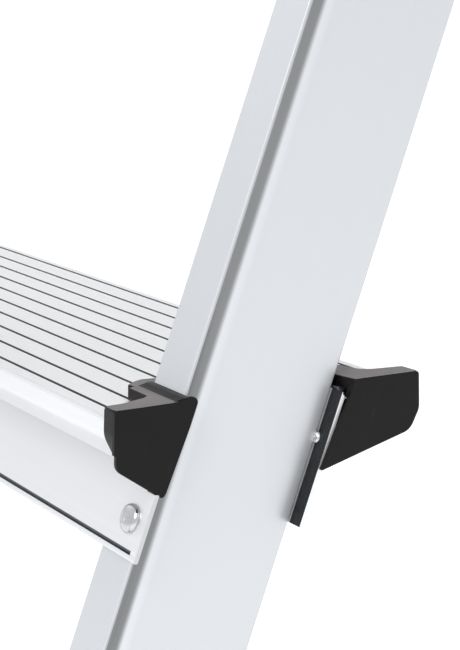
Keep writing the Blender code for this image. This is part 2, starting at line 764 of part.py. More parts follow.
def fork_mesh():
    leg_near = WHEEL_WIDTH / 2 + FORK_CLEARANCE
    leg_far = leg_near + FORK_SHEET
    axle = (TRAIL, AXLE_HEIGHT)
    outline = [(FORK_FRONT, FORK_TOP), (FORK_FRONT + 0.002, 0.118)]
    outline += arc(axle, 0.015, 200, 380, 8)
    outline += [(FORK_REAR + 0.004, 0.118), (FORK_REAR, FORK_TOP)]
    legs = [side_plate("leg", [outline], *ends) for ends in ((leg_near, leg_far), (-leg_far, -leg_near))]
    bridge_low = (-leg_far, FORK_FRONT, FORK_TOP - BRIDGE_THICKNESS)
    bridge = box_mesh("bridge", bridge_low, (leg_far, FORK_REAR, FORK_TOP))
    crown = rod_mesh("crown", (0, 0, FORK_TOP - 0.002), (0, 0, CASTOR_TOP), CROWN_RADIUS, WHEEL_SIDES)
    end = leg_far + AXLE_NUT
    axle_bolt = rod_mesh("axle", (-end, *axle), (end, *axle), AXLE_RADIUS)
    return combine("castor_fork", bridge, legs + [crown, axle_bolt], "UNION")


def turned(name, profile):
    """A ring turned about the X axis from a profile of (distance from the axis, X), closed on itself."""
    bm = bmesh.new()
    verts = [bm.verts.new((radius, 0, along)) for radius, along in profile]
    for first, second in zip(verts, verts[1:] + verts[:1]):
        bm.edges.new((first, second))
    mesh = bpy.data.meshes.new(name)
    bm.to_mesh(mesh)
    bm.free()
    obj = bpy.data.objects.new(name, mesh)
    CUTTERS.objects.link(obj)
    screw = obj.modifiers.new("turn", "SCREW")
    screw.steps = WHEEL_SIDES
    screw.render_steps = WHEEL_SIDES
    screw.use_merge_vertices = True
    screw.merge_threshold = 0.0001
    graph = bpy.context.evaluated_depsgraph_get()
    result = bpy.data.meshes.new_from_object(obj.evaluated_get(graph))
    bpy.data.objects.remove(obj, do_unlink=True)
    half_step = math.pi / WHEEL_SIDES
    result.transform(Matrix.Rotation(math.radians(90), 4, "Y") @ Matrix.Rotation(half_step, 4, "Z"))
    bm = bmesh.new()
    bm.from_mesh(result)
    bpy.data.meshes.remove(result)
    result = mesh_from(bm, name)
    shade_round(result)
    return result


def tyre_mesh():
    half = WHEEL_WIDTH / 2
    profile = [
        (RIM_RADIUS + GAP, half - 0.004),
        (RIM_RADIUS + 0.006, half - 0.001),
        (WHEEL_RADIUS - 0.006, half),
        (WHEEL_RADIUS, half - 0.005),
        (WHEEL_RADIUS, 0.005 - half),
        (WHEEL_RADIUS - 0.006, -half),
        (RIM_RADIUS + 0.006, 0.001 - half),
        (RIM_RADIUS + GAP, 0.004 - half),
    ]
    return turned("castor_tyre", profile)


def hub_mesh():
    half = WHEEL_WIDTH / 2
    bore = AXLE_RADIUS + AXLE_CLEARANCE
    one_side = [
        (bore, half + 0.0015),
        (0.013, half + 0.0015),
        (0.015, 0.006),
        (0.034, 0.006),
        (0.037, half - 0.005),
        (RIM_RADIUS, half - 0.005),
    ]
    other_side = [(radius, -along) for radius, along in one_side[::-1]]
    return turned("castor_hub", one_side + other_side)


def pedal_mesh():
    """A foot lever that pivots above the wheel, behind the crown, drawn about its own pivot."""
    half = WHEEL_WIDTH / 2 + 0.0015
    profile = [
        (-0.006, 0.004),
        (0.004, 0.0055),
        (0.036, 0.0000),
        (0.050, 0.0060),
        (0.052, 0.0030),
        (0.037, -0.0040),
        (0.004, -0.0045),
        (-0.006, -0.004),
    ]
    return side_plate("brake_pedal", [profile], -half, half)


def add_castors():
    fork = fork_mesh()
    tyre = tyre_mesh()
    hub = hub_mesh()
    pedal = pedal_mesh()
    for end, y in (("front", CASTOR_FRONT), ("rear", CASTOR_REAR)):
        for side, sign in (("right", 1), ("left", -1)):
            x = sign * (HALF_WIDTH - CASTOR_INSET_X)
            label = f"{end}_{side}"
            add_object(f"castor_fork_{label}", fork, "zinc_steel", (x, y, 0))
            axle = (x, y + TRAIL, AXLE_HEIGHT)
            add_object(f"castor_hub_{label}", hub, "black_plastic", axle)
            add_object(f"castor_tyre_{label}", tyre, "grey_rubber", axle)
            add_object(f"brake_pedal_{label}", pedal, "red_plastic", (x, y + PEDAL_Y, PEDAL_Z))


def centre_on_origin():
    for obj in PARTS.objects:
        obj.location.y -= CENTRE_Y


add_stiles()
add_treads()
add_caps()
add_platform()
add_base()
add_guard_posts()
add_safety_bar()
add_guard_rails()
add_handrails()
add_castors()
centre_on_origin()
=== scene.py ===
"""The looks of the rolling warehouse ladder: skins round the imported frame, materials, light and camera."""

import math

import bmesh
import bpy
from mathutils import Matrix, Vector


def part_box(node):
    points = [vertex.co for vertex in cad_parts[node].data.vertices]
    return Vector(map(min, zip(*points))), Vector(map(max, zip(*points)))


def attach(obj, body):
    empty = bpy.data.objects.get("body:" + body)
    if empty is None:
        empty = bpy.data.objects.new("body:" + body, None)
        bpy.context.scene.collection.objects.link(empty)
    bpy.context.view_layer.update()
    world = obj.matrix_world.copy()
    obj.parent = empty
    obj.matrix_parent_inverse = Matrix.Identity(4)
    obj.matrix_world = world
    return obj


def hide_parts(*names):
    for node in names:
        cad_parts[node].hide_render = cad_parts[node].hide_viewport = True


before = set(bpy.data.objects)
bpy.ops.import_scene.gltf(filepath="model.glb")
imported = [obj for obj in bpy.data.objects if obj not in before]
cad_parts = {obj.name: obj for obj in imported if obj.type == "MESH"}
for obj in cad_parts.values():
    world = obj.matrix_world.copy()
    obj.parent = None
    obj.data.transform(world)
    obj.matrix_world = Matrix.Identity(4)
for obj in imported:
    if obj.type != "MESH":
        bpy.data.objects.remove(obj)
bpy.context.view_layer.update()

# Sizes that the skins share with the solids, in metres
LEAN = math.radians(19.81)
SLOPE = math.tan(LEAN)
HALF_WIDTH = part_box("stile_right")[1].x
TREADS = 4
NOSE_FRONT = 0.0408
NOSE_REAR = 0.1612
STILE_FRONT = 0.0668
STILE_WIDTH = 0.0208
STILE_DEPTH = 0.0607
STILE_RUN = STILE_DEPTH / math.cos(LEAN)  # front to back, measured level
WEB_RECESS = 0.0030
LIP = 0.0013
COVE_END = 0.0088
SHEET = 0.0018
TREAD_END = 0.0050
REAR_END = 0.0034
REAR_DROP = 0.0474
APRON_DROP = 0.0490
GROOVES = 10
GROOVE_PITCH = 0.0120
FIRST_GROOVE = 0.0484
GAP = 0.0003
CAP_TOP = 0.0044
CAP_RIDGE = 0.0056
CAP_OVERLAP = 0.0034
TREAD_TRIM = 0.0262
RAIL_RADIUS = 0.0150
COLLAR_BORE = 0.0151
COLLAR_LENGTH = 0.014
POST_PLUG = 0.0060  # height of the domed cap on a guard post
BAR_PIVOT = -0.232
CHEEK_OUTER = 0.018  # of the safety bar's brackets, to either side of the bar's middle line
TRAIL = 0.036  # of a castor's axle behind its swivel axis
AXLE_Z = 0.061965
FORK_INNER = 0.0185
FORK_OUTER = 0.0215
PEDAL_PIVOT = Vector((0, 0.044, 0.140))


def tread_datum(number):
    """The point on the right stile's lip line from which a tread and its caps are drawn."""
    low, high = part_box(f"tread_{number}")
    return Vector((HALF_WIDTH, low.y - NOSE_FRONT, high.z))


# Materials


def new_material(name, colour, roughness, metallic):
    material = bpy.data.materials.new(name)
    material.use_nodes = True
    shader = material.node_tree.nodes["Principled BSDF"]
    shader.inputs["Base Color"].default_value = (*colour, 1.0)
    shader.inputs["Roughness"].default_value = roughness
    shader.inputs["Metallic"].default_value = metallic
    material.diffuse_color = (*colour, 1.0)
    return material, shader


class Nodes:
    """Short calls for the nodes that the materials share."""

    def __init__(self, material):
        self.tree = material.node_tree
        self.point = self.add("ShaderNodeTexCoord").outputs["Object"]

    def add(self, kind, **settings):
        node = self.tree.nodes.new(kind)
        for name, value in settings.items():
            setattr(node, name, value)
        return node

    def link(self, source, target):
        self.tree.links.new(source, target)

    def placed(self, turn=(0, 0, 0), scale=(1, 1, 1)):
        """The point turned, then scaled along its new axes."""
        turned = self.add("ShaderNodeMapping")
        turned.inputs["Rotation"].default_value = turn
        self.link(self.point, turned.inputs["Vector"])
        scaled = self.add("ShaderNodeMapping")
        scaled.inputs["Scale"].default_value = scale
        self.link(turned.outputs["Vector"], scaled.inputs["Vector"])
        return scaled.outputs["Vector"]

    def noise(self, vector, scale, detail=4.0, rough=0.55):
        node = self.add("ShaderNodeTexNoise")
        node.inputs["Scale"].default_value = scale
        node.inputs["Detail"].default_value = detail
        node.inputs["Roughness"].default_value = rough
        self.link(vector, node.inputs["Vector"])
        return node.outputs["Fac"]

    def spread(self, value, low, high, source=(0.3, 0.7)):
        """A value taken from one range to another."""
        node = self.add("ShaderNodeMapRange")
        node.inputs["From Min"].default_value = source[0]
        node.inputs["From Max"].default_value = source[1]
        node.inputs["To Min"].default_value = low
        node.inputs["To Max"].default_value = high
        self.link(value, node.inputs["Value"])
        return node.outputs["Result"]

    def blend(self, factor, first, second):
        """A colour between two, by a factor."""
        node = self.add("ShaderNodeMix", data_type="RGBA")
        self.link(factor, node.inputs["Factor"])
        for socket, colour in ((node.inputs["A"], first), (node.inputs["B"], second)):
            if isinstance(colour, bpy.types.NodeSocket):
                self.link(colour, socket)
            else:
                socket.default_value = (*colour, 1.0)
        return node.outputs["Result"]

    def bump(self, height, strength, distance, shader):
        node = self.add("ShaderNodeBump")
        node.inputs["Strength"].default_value = strength
        node.inputs["Distance"].default_value = distance
        self.link(height, node.inputs["Height"])
        self.link(node.outputs["Normal"], shader.inputs["Normal"])

    def dress(self, shader, tone, roughness):
        self.link(tone, shader.inputs["Base Color"])
        self.link(roughness, shader.inputs["Roughness"])


def shade(colour, factor):
    return tuple(min(1.0, channel * factor) for channel in colour)


def extruded_aluminium(name, colour, roughness, along="Z", lean=0.0, metallic=0.92):
    """Drawn aluminium: fine lines along the section, a soft cloudiness, and a satin finish."""
    material, shader = new_material(name, colour, roughness, metallic)
    nodes = Nodes(material)
    fine, coarse = 2600.0, 5.0
    scale = {"X": (coarse, fine, fine), "Y": (fine, coarse, fine), "Z": (fine, fine, coarse)}[along]
    lines = nodes.noise(nodes.placed((lean, 0, 0), scale), 1.0, 3.0)
    broad_scale = tuple(value / 12 for value in scale)
    broad = nodes.noise(nodes.placed((lean, 0, 0), broad_scale), 1.0, 2.0)
    cloud = nodes.noise(nodes.point, 9.0, 2.0)
    tone = nodes.blend(nodes.spread(lines, 0, 1), shade(colour, 0.965), shade(colour, 1.03))
    tone = nodes.blend(nodes.spread(broad, 0.0, 0.55), tone, shade(colour, 0.97))
    tone = nodes.blend(nodes.spread(cloud, 0.0, 0.4), tone, shade(colour, 1.035))
    nodes.dress(shader, tone, nodes.spread(lines, roughness - 0.035, roughness + 0.05))
    nodes.bump(lines, 0.10, 0.00005, shader)
    return material


def speckled_aluminium(name, colour, roughness):
    """A tread's walking surface: blasted aluminium with a fine speckle."""
    material, shader = new_material(name, colour, roughness, 0.80)
    nodes = Nodes(material)
    speckle = nodes.noise(nodes.placed(scale=(0.55, 1, 1)), 1250.0, 2.0, 0.6)
    patch = nodes.noise(nodes.point, 230.0, 3.0)
    flecks = nodes.spread(speckle, 0, 1, (0.60, 0.74))
    tone = nodes.blend(nodes.spread(patch, 0, 0.6), colour, shade(colour, 0.955))
    tone = nodes.blend(nodes.spread(speckle, 0, 0.5, (0.25, 0.45)), shade(colour, 0.92), tone)
    tone = nodes.blend(flecks, tone, shade(colour, 1.08))
    nodes.dress(shader, tone, nodes.spread(speckle, roughness - 0.06, roughness + 0.08))
    nodes.bump(speckle, 0.28, 0.00012, shader)
    return material


def stile_aluminium(name, colour, roughness):
    """Drawn aluminium whose tone follows the section: painted light on the front face, painted shade over the
    lip and in the cove, and a painted highlight on the rim of the web.
    """
    material, shader = new_material(name, colour, roughness, 0.62)
    nodes = Nodes(material)
    datum = tread_datum(1)
    lines = nodes.noise(nodes.placed((LEAN, 0, 0), (2600, 2600, 5)), 1.0, 3.0)
    broad = nodes.noise(nodes.placed((LEAN, 0, 0), (210, 210, 0.6)), 1.0, 2.0)
    cloud = nodes.noise(nodes.point, 9.0, 2.0)
    back = nodes.add("ShaderNodeVectorMath", operation="DOT_PRODUCT")
    back.inputs[1].default_value = (0, math.cos(LEAN), -math.sin(LEAN))
    nodes.link(nodes.point, back.inputs[0])
    front = (datum.y + STILE_FRONT) * math.cos(LEAN) - datum.z * math.sin(LEAN)
    across = nodes.add("ShaderNodeValToRGB")
    stops = across.color_ramp.elements
    before = 0.0020
    span = 0.0700
    # Painted light and shade across the section: a lighter front face, painted shade over the lip and in the
    # cove, and a painted highlight on the web's rim beside the cove
    painted_light_marks = [
        (-0.0010, shade(colour, 1.05)),
        (0.0003, shade(colour, 1.02)),
        (0.0006, shade(colour, 0.80)),
        (0.0013, shade(colour, 0.62)),
        (0.0016, shade(COVE_PAINTED_SHADE, 1.15)),
        (0.0040, shade(COVE_PAINTED_SHADE, 0.90)),
        (0.0069, shade(COVE_PAINTED_SHADE, 0.98)),
        (0.0078, shade(colour, 0.62)),
        (0.0087, shade(colour, 1.04)),
        (0.0093, shade(colour, 1.09)),
        (0.0104, shade(colour, 1.08)),
        (0.0124, colour),
    ]
    stops[0].position, stops[0].color = 0.0, (*painted_light_marks[0][1], 1)
    stops[1].position, stops[1].color = (painted_light_marks[-1][0] + before) / span, (*painted_light_marks[-1][1], 1)
    for place, tone in painted_light_marks[1:-1]:
        stop = stops.new((place + before) / span)
        stop.color = (*tone, 1)
    start = front - before
    nodes.link(nodes.spread(back.outputs["Value"], 0, 1, (start, start + span)), across.inputs["Fac"])
    tone = nodes.blend(nodes.spread(lines, 0, 0.6), across.outputs["Color"], shade(colour, 0.97))
    tone = nodes.blend(nodes.spread(broad, 0.0, 0.30), across.outputs["Color"], tone)
    tone = nodes.blend(nodes.spread(cloud, 0.0, 0.10), tone, shade(colour, 1.06))
    nodes.dress(shader, tone, nodes.spread(lines, roughness - 0.035, roughness + 0.05))
    nodes.bump(lines, 0.10, 0.00005, shader)
    return material


def rear_face_aluminium(name, colour, dark, roughness):
    """The front face of a rear apron: bright beside the stile, with a painted dark reflection where it shows
    past it.
    """
    material, shader = new_material(name, colour, roughness, 0.85)
    nodes = Nodes(material)
    place = nodes.add("ShaderNodeSeparateXYZ")
    nodes.link(nodes.point, place.inputs["Vector"])
    beyond = nodes.add("ShaderNodeMath", operation="ABSOLUTE")
    nodes.link(place.outputs["X"], beyond.inputs[0])
    lines = nodes.noise(nodes.placed(scale=(900, 900, 12)), 1.0, 3.0)
    # Past the stile's edge the face takes a painted dark reflection
    outer = nodes.spread(beyond.outputs["Value"], 0, 1, (HALF_WIDTH - 0.0032, HALF_WIDTH - 0.0028))
    painted_reflection = nodes.blend(nodes.spread(lines, 0, 1), shade(dark, 0.7), shade(dark, 1.3))
    tone = nodes.blend(outer, colour, painted_reflection)
    nodes.dress(shader, tone, nodes.spread(lines, roughness - 0.05, roughness + 0.08))
    return material


def moulded_plastic(name, colour, roughness, grain=0.35):
    """Moulded plastic: a fine spark-eroded grain with a few faint scuffs."""
    material, shader = new_material(name, colour, roughness, 0.0)
    shader.inputs["Specular IOR Level"].default_value = 0.19
    nodes = Nodes(material)
    texture = nodes.noise(nodes.point, 2200.0, 3.0, 0.6)
    scuff = nodes.noise(nodes.placed((0.3, 0.5, 0.2), (60, 420, 60)), 1.0, 4.0, 0.7)
    cloud = nodes.noise(nodes.point, 60.0, 3.0)
    tone = nodes.blend(nodes.spread(cloud, 0, 1), shade(colour, 0.85), shade(colour, 1.2))
    tone = nodes.blend(nodes.spread(scuff, 0, 0.10, (0.62, 0.75)), tone, tuple(0.10 + c for c in colour))
    nodes.dress(shader, tone, nodes.spread(texture, roughness - 0.05, roughness + 0.08))
    nodes.bump(texture, grain, 0.00005, shader)
    return material


def zinc_plate(name, colour, roughness):
    """Zinc-plated pressed steel: mottled, with a slight warm and cool play."""
    material, shader = new_material(name, colour, roughness, 1.0)
    nodes = Nodes(material)
    mottle = nodes.noise(nodes.point, 130.0, 5.0, 0.6)
    fine = nodes.noise(nodes.point, 1400.0, 3.0)
    tone = nodes.blend(nodes.spread(mottle, 0, 1), shade(colour, 0.88), shade(colour, 1.08))
    warm = (min(1, colour[0] * 1.03), colour[1], colour[2] * 0.94)
    tone = nodes.blend(nodes.spread(nodes.noise(nodes.point, 22.0, 2.0), 0, 0.5), tone, warm)
    nodes.dress(shader, tone, nodes.spread(mottle, roughness - 0.06, roughness + 0.10))
    nodes.bump(fine, 0.12, 0.00004, shader)
    return material


def rubber(name, colour, roughness):
    """Grey wheel rubber: dusty, with a fine pitting."""
    material, shader = new_material(name, colour, roughness, 0.0)
    nodes = Nodes(material)
    pits = nodes.noise(nodes.point, 900.0, 4.0, 0.65)
    dust = nodes.noise(nodes.point, 70.0, 5.0, 0.6)
    tone = nodes.blend(nodes.spread(dust, 0, 0.7), colour, shade(colour, 1.5))
    tone = nodes.blend(nodes.spread(pits, 0, 0.5), tone, shade(colour, 0.8))
    nodes.dress(shader, tone, nodes.spread(dust, roughness - 0.08, roughness + 0.1))
    nodes.bump(pits, 0.35, 0.00012, shader)
    return material


ALUMINIUM = (0.755, 0.775, 0.805)
# Painted shade for the stile's cove
COVE_PAINTED_SHADE = (0.20, 0.205, 0.21)
MATERIALS = {
    "stile": stile_aluminium("stile_aluminium", shade(ALUMINIUM, 0.825), 0.36),
    # rear_face: the rear apron's front face, with a painted dark reflection past the stile
    "rear_face": rear_face_aluminium("rear_face_aluminium", (0.93, 0.93, 0.93), (0.035, 0.037, 0.04), 0.45),
    "apron": extruded_aluminium("apron_aluminium", (0.80, 0.81, 0.825), 0.40, "X", 0.0, 0.80),
    "sawn": extruded_aluminium("sawn_aluminium", (0.58, 0.59, 0.61), 0.48, "Z", 0.0, 0.8),
    "walking": speckled_aluminium("walking_surface", (0.93, 0.935, 0.945), 0.42),
    # groove: dark aluminium that paints shade into the grooves
    "groove": extruded_aluminium("groove_painted_shade", (0.16, 0.17, 0.18), 0.5, "X"),
    "upright": extruded_aluminium("upright_aluminium", shade(ALUMINIUM, 0.80), 0.36, "Z"),
    "lengthwise": extruded_aluminium("lengthwise_aluminium", shade(ALUMINIUM, 0.80), 0.36, "Y"),
    "crosswise": extruded_aluminium("crosswise_aluminium", shade(ALUMINIUM, 0.80), 0.36, "X"),
    "tube": extruded_aluminium("tube_aluminium", (0.66, 0.67, 0.69), 0.28, "Z", LEAN, 0.95),
    "black": moulded_plastic("black_moulding", (0.0036, 0.0028, 0.0029), 0.40),
    # cap_top: grey where the black cap's level top takes painted light
    "cap_top": moulded_plastic("cap_top_moulding", (0.150, 0.138, 0.144), 0.46, 0.5),
    "red": moulded_plastic("red_moulding", (0.56, 0.022, 0.016), 0.38),
    "zinc": zinc_plate("zinc_plate", (0.66, 0.67, 0.69), 0.30),
    "bolt": zinc_plate("bright_bolt", (0.58, 0.59, 0.61), 0.20),
    "rubber": rubber("wheel_rubber", (0.135, 0.135, 0.14), 0.72),
}


# Mesh helpers


def mesh_object(name, bm, *materials):
    bmesh.ops.recalc_face_normals(bm, faces=bm.faces)
    if bm.calc_volume(signed=True) < 0:
        bmesh.ops.reverse_faces(bm, faces=bm.faces)
    mesh = bpy.data.meshes.new(name)
    bm.to_mesh(mesh)
    bm.free()
    obj = bpy.data.objects.new(name, mesh)
    bpy.context.scene.collection.objects.link(obj)
    for material in materials:
        mesh.materials.append(MATERIALS[material])
    return obj


def smooth(obj, degrees=32):
    """Smooth shading that keeps hard edges hard and flat faces flat."""
    obj.data.shade_smooth()
    obj.data.set_sharp_from_angle(angle=math.radians(degrees))
    normals = obj.modifiers.new("weighted", "WEIGHTED_NORMAL")
    normals.keep_sharp = True
    return apply_modifiers(obj)


def apply_modifiers(obj):
    graph = bpy.context.evaluated_depsgraph_get()
    shown = obj.evaluated_get(graph)
    mesh = bpy.data.meshes.new_from_object(shown, preserve_all_data_layers=True, depsgraph=graph)
    obj.modifiers.clear()
    old = obj.data
    mesh.name = old.name
    obj.data = mesh
    bpy.data.meshes.remove(old)
    return obj


def rounded(points, radii, steps=4):
    """A closed outline with each corner rounded to its own radius."""
    if not isinstance(radii, (list, tuple)):
        radii = [radii] * len(points)
    loop = []
    count = len(points)
    for index, radius in enumerate(radii):
        corner = Vector(points[index])
        before = Vector(points[index - 1]) - corner
        after = Vector(points[(index + 1) % count]) - corner
        turn = before.angle(after)
        if radius <= 0 or turn > math.pi - 0.01:
            loop.append(tuple(corner))
            continue
        setback = min(radius / math.tan(turn / 2), 0.49 * before.length, 0.49 * after.length)
        radius = setback * math.tan(turn / 2)
        halfway = (before.normalized() + after.normalized()).normalized()
        centre = corner + halfway * (radius / math.sin(turn / 2))
        start = corner + before.normalized() * setback - centre
        end = corner + after.normalized() * setback - centre
        sweep = start.angle_signed(end)
        for step in range(steps + 1):
            angle = -sweep * step / steps
            arm = Vector((start.x * math.cos(angle) - start.y * math.sin(angle),
                          start.x * math.sin(angle) + start.y * math.cos(angle)))
            loop.append(tuple(centre + arm))
    return loop


PLACE = {
    "X": lambda u, v, w: (w, u, v),
    "Y": lambda u, v, w: (u, w, v),
    "Z": lambda u, v, w: (u, v, w),
}


def prism(name, loop, low, high, along, *materials, holes=()):
    """An outline carried from low to high along an axis, and drawn in the other two axes, in order."""
    bm = bmesh.new()
    rings = []
    for outline in (loop, *holes):
        ends = [[bm.verts.new(PLACE[along](u, v, w)) for u, v in outline] for w in (low, high)]
        for index in range(len(outline)):
            following = (index + 1) % len(outline)
            bm.faces.new((ends[0][index], ends[0][following], ends[1][following], ends[1][index]))
        rings.append(ends)
    for end in (0, 1):
        if not holes:
            bm.faces.new(rings[0][end])
            continue
        edges = []
        for ends in rings:
            ring = ends[end]
            edges += [bm.edges.get((ring[i], ring[(i + 1) % len(ring)])) for i in range(len(ring))]
        bmesh.ops.triangle_fill(bm, use_beauty=True, edges=edges)
    return mesh_object(name, bm, *materials)


def box_loop(u_low, v_low, u_high, v_high):
    return [(u_low, v_low), (u_high, v_low), (u_high, v_high), (u_low, v_high)]


def bevelled(obj, width, segments=3, degrees=35):
    bevel = obj.modifiers.new("bevel", "BEVEL")
    bevel.width = width
    bevel.segments = segments
    bevel.limit_method = "ANGLE"
    bevel.angle_limit = math.radians(degrees)
    bevel.use_clamp_overlap = True
    return apply_modifiers(obj)


def boolean(obj, others, operation):
    for other in others:
        modifier = obj.modifiers.new("boolean", "BOOLEAN")
        modifier.operation = operation
        modifier.object = other
    apply_modifiers(obj)
    for other in others:
        bpy.data.objects.remove(other, do_unlink=True)
    return obj


def block(name, low, high, *materials, edge=0.0, segments=2):
    """A box with eased edges."""
    obj = prism(name, box_loop(low[0], low[1], high[0], high[1]), low[2], high[2], "Z", *materials)
    return bevelled(obj, edge, segments) if edge else obj


def turned(name, profile, material, sides=48):
    """A round piece about Z, from a profile of (radius, height) with both ends on the axis or neither."""
    bm = bmesh.new()
    rings = []
    for radius, height in profile:
        if radius < 1e-7:
            rings.append([bm.verts.new((0, 0, height))])
            continue
        ring = []
        for side in range(sides):
            angle = 2 * math.pi * side / sides
            ring.append(bm.verts.new((radius * math.cos(angle), radius * math.sin(angle), height)))
        rings.append(ring)
    pairs = list(zip(rings, rings[1:]))
    if len(rings[0]) > 1 and len(rings[-1]) > 1:
        pairs.append((rings[-1], rings[0]))
    for first, second in pairs:
        for side in range(sides):
            following = (side + 1) % sides
            corners = [first[side % len(first)], first[following % len(first)]]
            corners += [second[following % len(second)], second[side % len(second)]]
            unique = list(dict.fromkeys(corners))
            bm.faces.new(unique)
    return mesh_object(name, bm, material)


def swept(name, route, radius, material, sides=28):
    """A round bar along a route of points, with flat ends."""
    bm = bmesh.new()
    points = [Vector(point) for point in route]
    rings = []
    side_way = None
    for index, point in enumerate(points):
        into = (point - points[index - 1]).normalized() if index else None
        out = (points[index + 1] - point).normalized() if index < len(points) - 1 else None
        tangent = ((into or out) + (out or into)).normalized()
        if side_way is None:
            side_way = tangent.orthogonal().normalized()
        side_way = (side_way - tangent * side_way.dot(tangent)).normalized()
        up = tangent.cross(side_way)
        ring = []
        for side in range(sides):
            angle = 2 * math.pi * side / sides
            ring.append(bm.verts.new(point + radius * (side_way * math.cos(angle) + up * math.sin(angle))))
        rings.append(ring)
    for first, second in zip(rings, rings[1:]):
        for side in range(sides):
            following = (side + 1) % sides
            bm.faces.new((first[side], first[following], second[following], second[side]))
    bm.faces.new(rings[0][::-1])
    bm.faces.new(rings[-1])
    return smooth(mesh_object(name, bm, material))


def move(obj, matrix):
    obj.data.transform(matrix)
    if matrix.determinant() < 0:
        obj.data.flip_normals()
    return obj


def shift(obj, x=0.0, y=0.0, z=0.0):
    return move(obj, Matrix.Translation((x, y, z)))


def copy_of(obj, name, matrix):
    copy = bpy.data.objects.new(name, obj.data.copy())
    copy.data.name = name
    bpy.context.scene.collection.objects.link(copy)
    return move(copy, matrix)


MIRROR = Matrix.Diagonal((-1, 1, 1, 1))


def use(obj, body, slot, *replaced):
    """The piece rides on its body and stands for its CAD nodes; the slot is not used."""
    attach(obj, body)
    if replaced:
        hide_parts(*replaced)
    return obj


def use_both(right, body, slot, node=None):
    """A right-hand piece and its mirror image on one body."""
    left = copy_of(right, right.name.replace("right", "left"), MIRROR)
    for piece, side in ((right, "right"), (left, "left")):
        use(piece, body, slot, *([f"{node}_{side}"] if node else []))


def paint(obj, rule):
    """Gives each face the material slot that a rule of its centre and normal says."""
    for polygon in obj.data.polygons:
        polygon.material_index = rule(polygon.center, polygon.normal)


# Stiles


def stile_profile():
    """Section from the lip at x = 0, as (x, distance behind the front face)."""
    turns = [math.radians(90 * step / 12) for step in range(13)]
    cove = [(-WEB_RECESS * math.sin(t), LIP + (COVE_END - LIP) * (1 - math.cos(t))) for t in turns]
    corners = [(-STILE_WIDTH, 0.02), (-STILE_WIDTH, 0), (0, 0), (0, LIP)]
    front = rounded(corners, [0, 0.0012, 0.0004, 0.0002])[1:]
    back = rounded(
        [(-WEB_RECESS, 0.03), (-WEB_RECESS, STILE_DEPTH), (-STILE_WIDTH, STILE_DEPTH), (-STILE_WIDTH, 0.03)],
        [0, 0.0010, 0.0012, 0],
    )[1:-1]
    return front + cove[1:] + back


def make_stiles():
    low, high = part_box("stile_right")
    datum = tread_datum(1)
    inside = box_loop(SHEET - STILE_WIDTH, SHEET, -WEB_RECESS - SHEET, STILE_DEPTH - SHEET)
    hollow = rounded(inside, 0.001, 2)
    length = (high.z - low.z) / math.cos(LEAN)
    skin = prism("stile_right_skin", stile_profile(), -0.1, length + 0.1, "Z", "stile", holes=[hollow])
    place = Vector((HALF_WIDTH, datum.y + STILE_FRONT + (low.z - datum.z) * SLOPE, low.z))
    move(skin, Matrix.Translation(place) @ Matrix.Rotation(-LEAN, 4, "X"))
    ends = [
        block("foot_cut", (0, low.y - 1, low.z - 1), (1, high.y + 1, low.z)),
        block("top_cut", (0, low.y - 1, high.z), (1, high.y + 1, high.z + 1)),
    ]
    boolean(skin, ends, "DIFFERENCE")
    use_both(smooth(skin, 40), "frame", "aluminium", "stile")


# Treads


def apron(behind, height):
    return (STILE_FRONT + behind + SLOPE * height, height)


def tread_profile():
    """Section of a tread, front to back over the top and back underneath."""
    top = [(NOSE_FRONT + 0.0013, 0.0), (NOSE_FRONT + 0.0015, -0.0003), (NOSE_FRONT + 0.0019, -0.0003),
           (NOSE_FRONT + 0.0021, 0.0)]
    for number in range(GROOVES):
        middle = FIRST_GROOVE + number * GROOVE_PITCH
        half = 0.00065
        ease = 0.00015
        top += [(middle - half - ease, 0), (middle - half, -ease), (middle - half + 0.0001, -0.0013)]
        top += [(middle + half - 0.0001, -0.0013), (middle + half, -ease), (middle + half + ease, 0)]

    def nose(edge, way):
        corners = [(0.01, 0), (0, 0), (0, -0.0068), (0.0034, -0.0138), (0.0058, -0.0130)]
        corners = [(edge + way * along, height) for along, height in corners]
        outer = rounded(corners, [0, 0.0010, 0.0060, 0.0003, 0.0003], 5)[1:]
        inner = [(edge + way * 0.0030, -0.0088), (edge + way * SHEET, -0.0058), (edge + way * SHEET, -SHEET)]
        return outer + inner

    front_nose = nose(NOSE_FRONT, 1)
    rear_nose = nose(NOSE_REAR, -1)
    low = -APRON_DROP
    rear_low = -REAR_DROP
    face = -GAP - SHEET
    lip = rounded(
        [
            apron(face, -0.02), apron(face, low + 0.0033), apron(face + 0.0013, low + 0.0033),
            apron(face + 0.0013, low + 0.0020), apron(face, low + 0.0020), apron(face, low),
            apron(face + SHEET, low), apron(face + SHEET, -0.02),
        ],
        [0, 0.0002, 0.0001, 0.0001, 0.0005, 0.0006, 0.0004, 0],
        3,
    )[1:-1]
    back = STILE_RUN + GAP
    corners = [(back, -0.02), (back, rear_low), (back + SHEET, rear_low), (back + SHEET, -0.02)]
    rear = rounded([apron(*corner) for corner in corners], [0, 0.0003, 0.0003, 0], 3)[1:-1]
    under = [apron(face, -SHEET - 0.0008)] + lip + [apron(face + SHEET, -SHEET)]
    under += [apron(back, -SHEET)] + rear + [apron(back + SHEET, -SHEET - 0.0008)]
    return top + rear_nose + under[::-1] + front_nose[::-1]


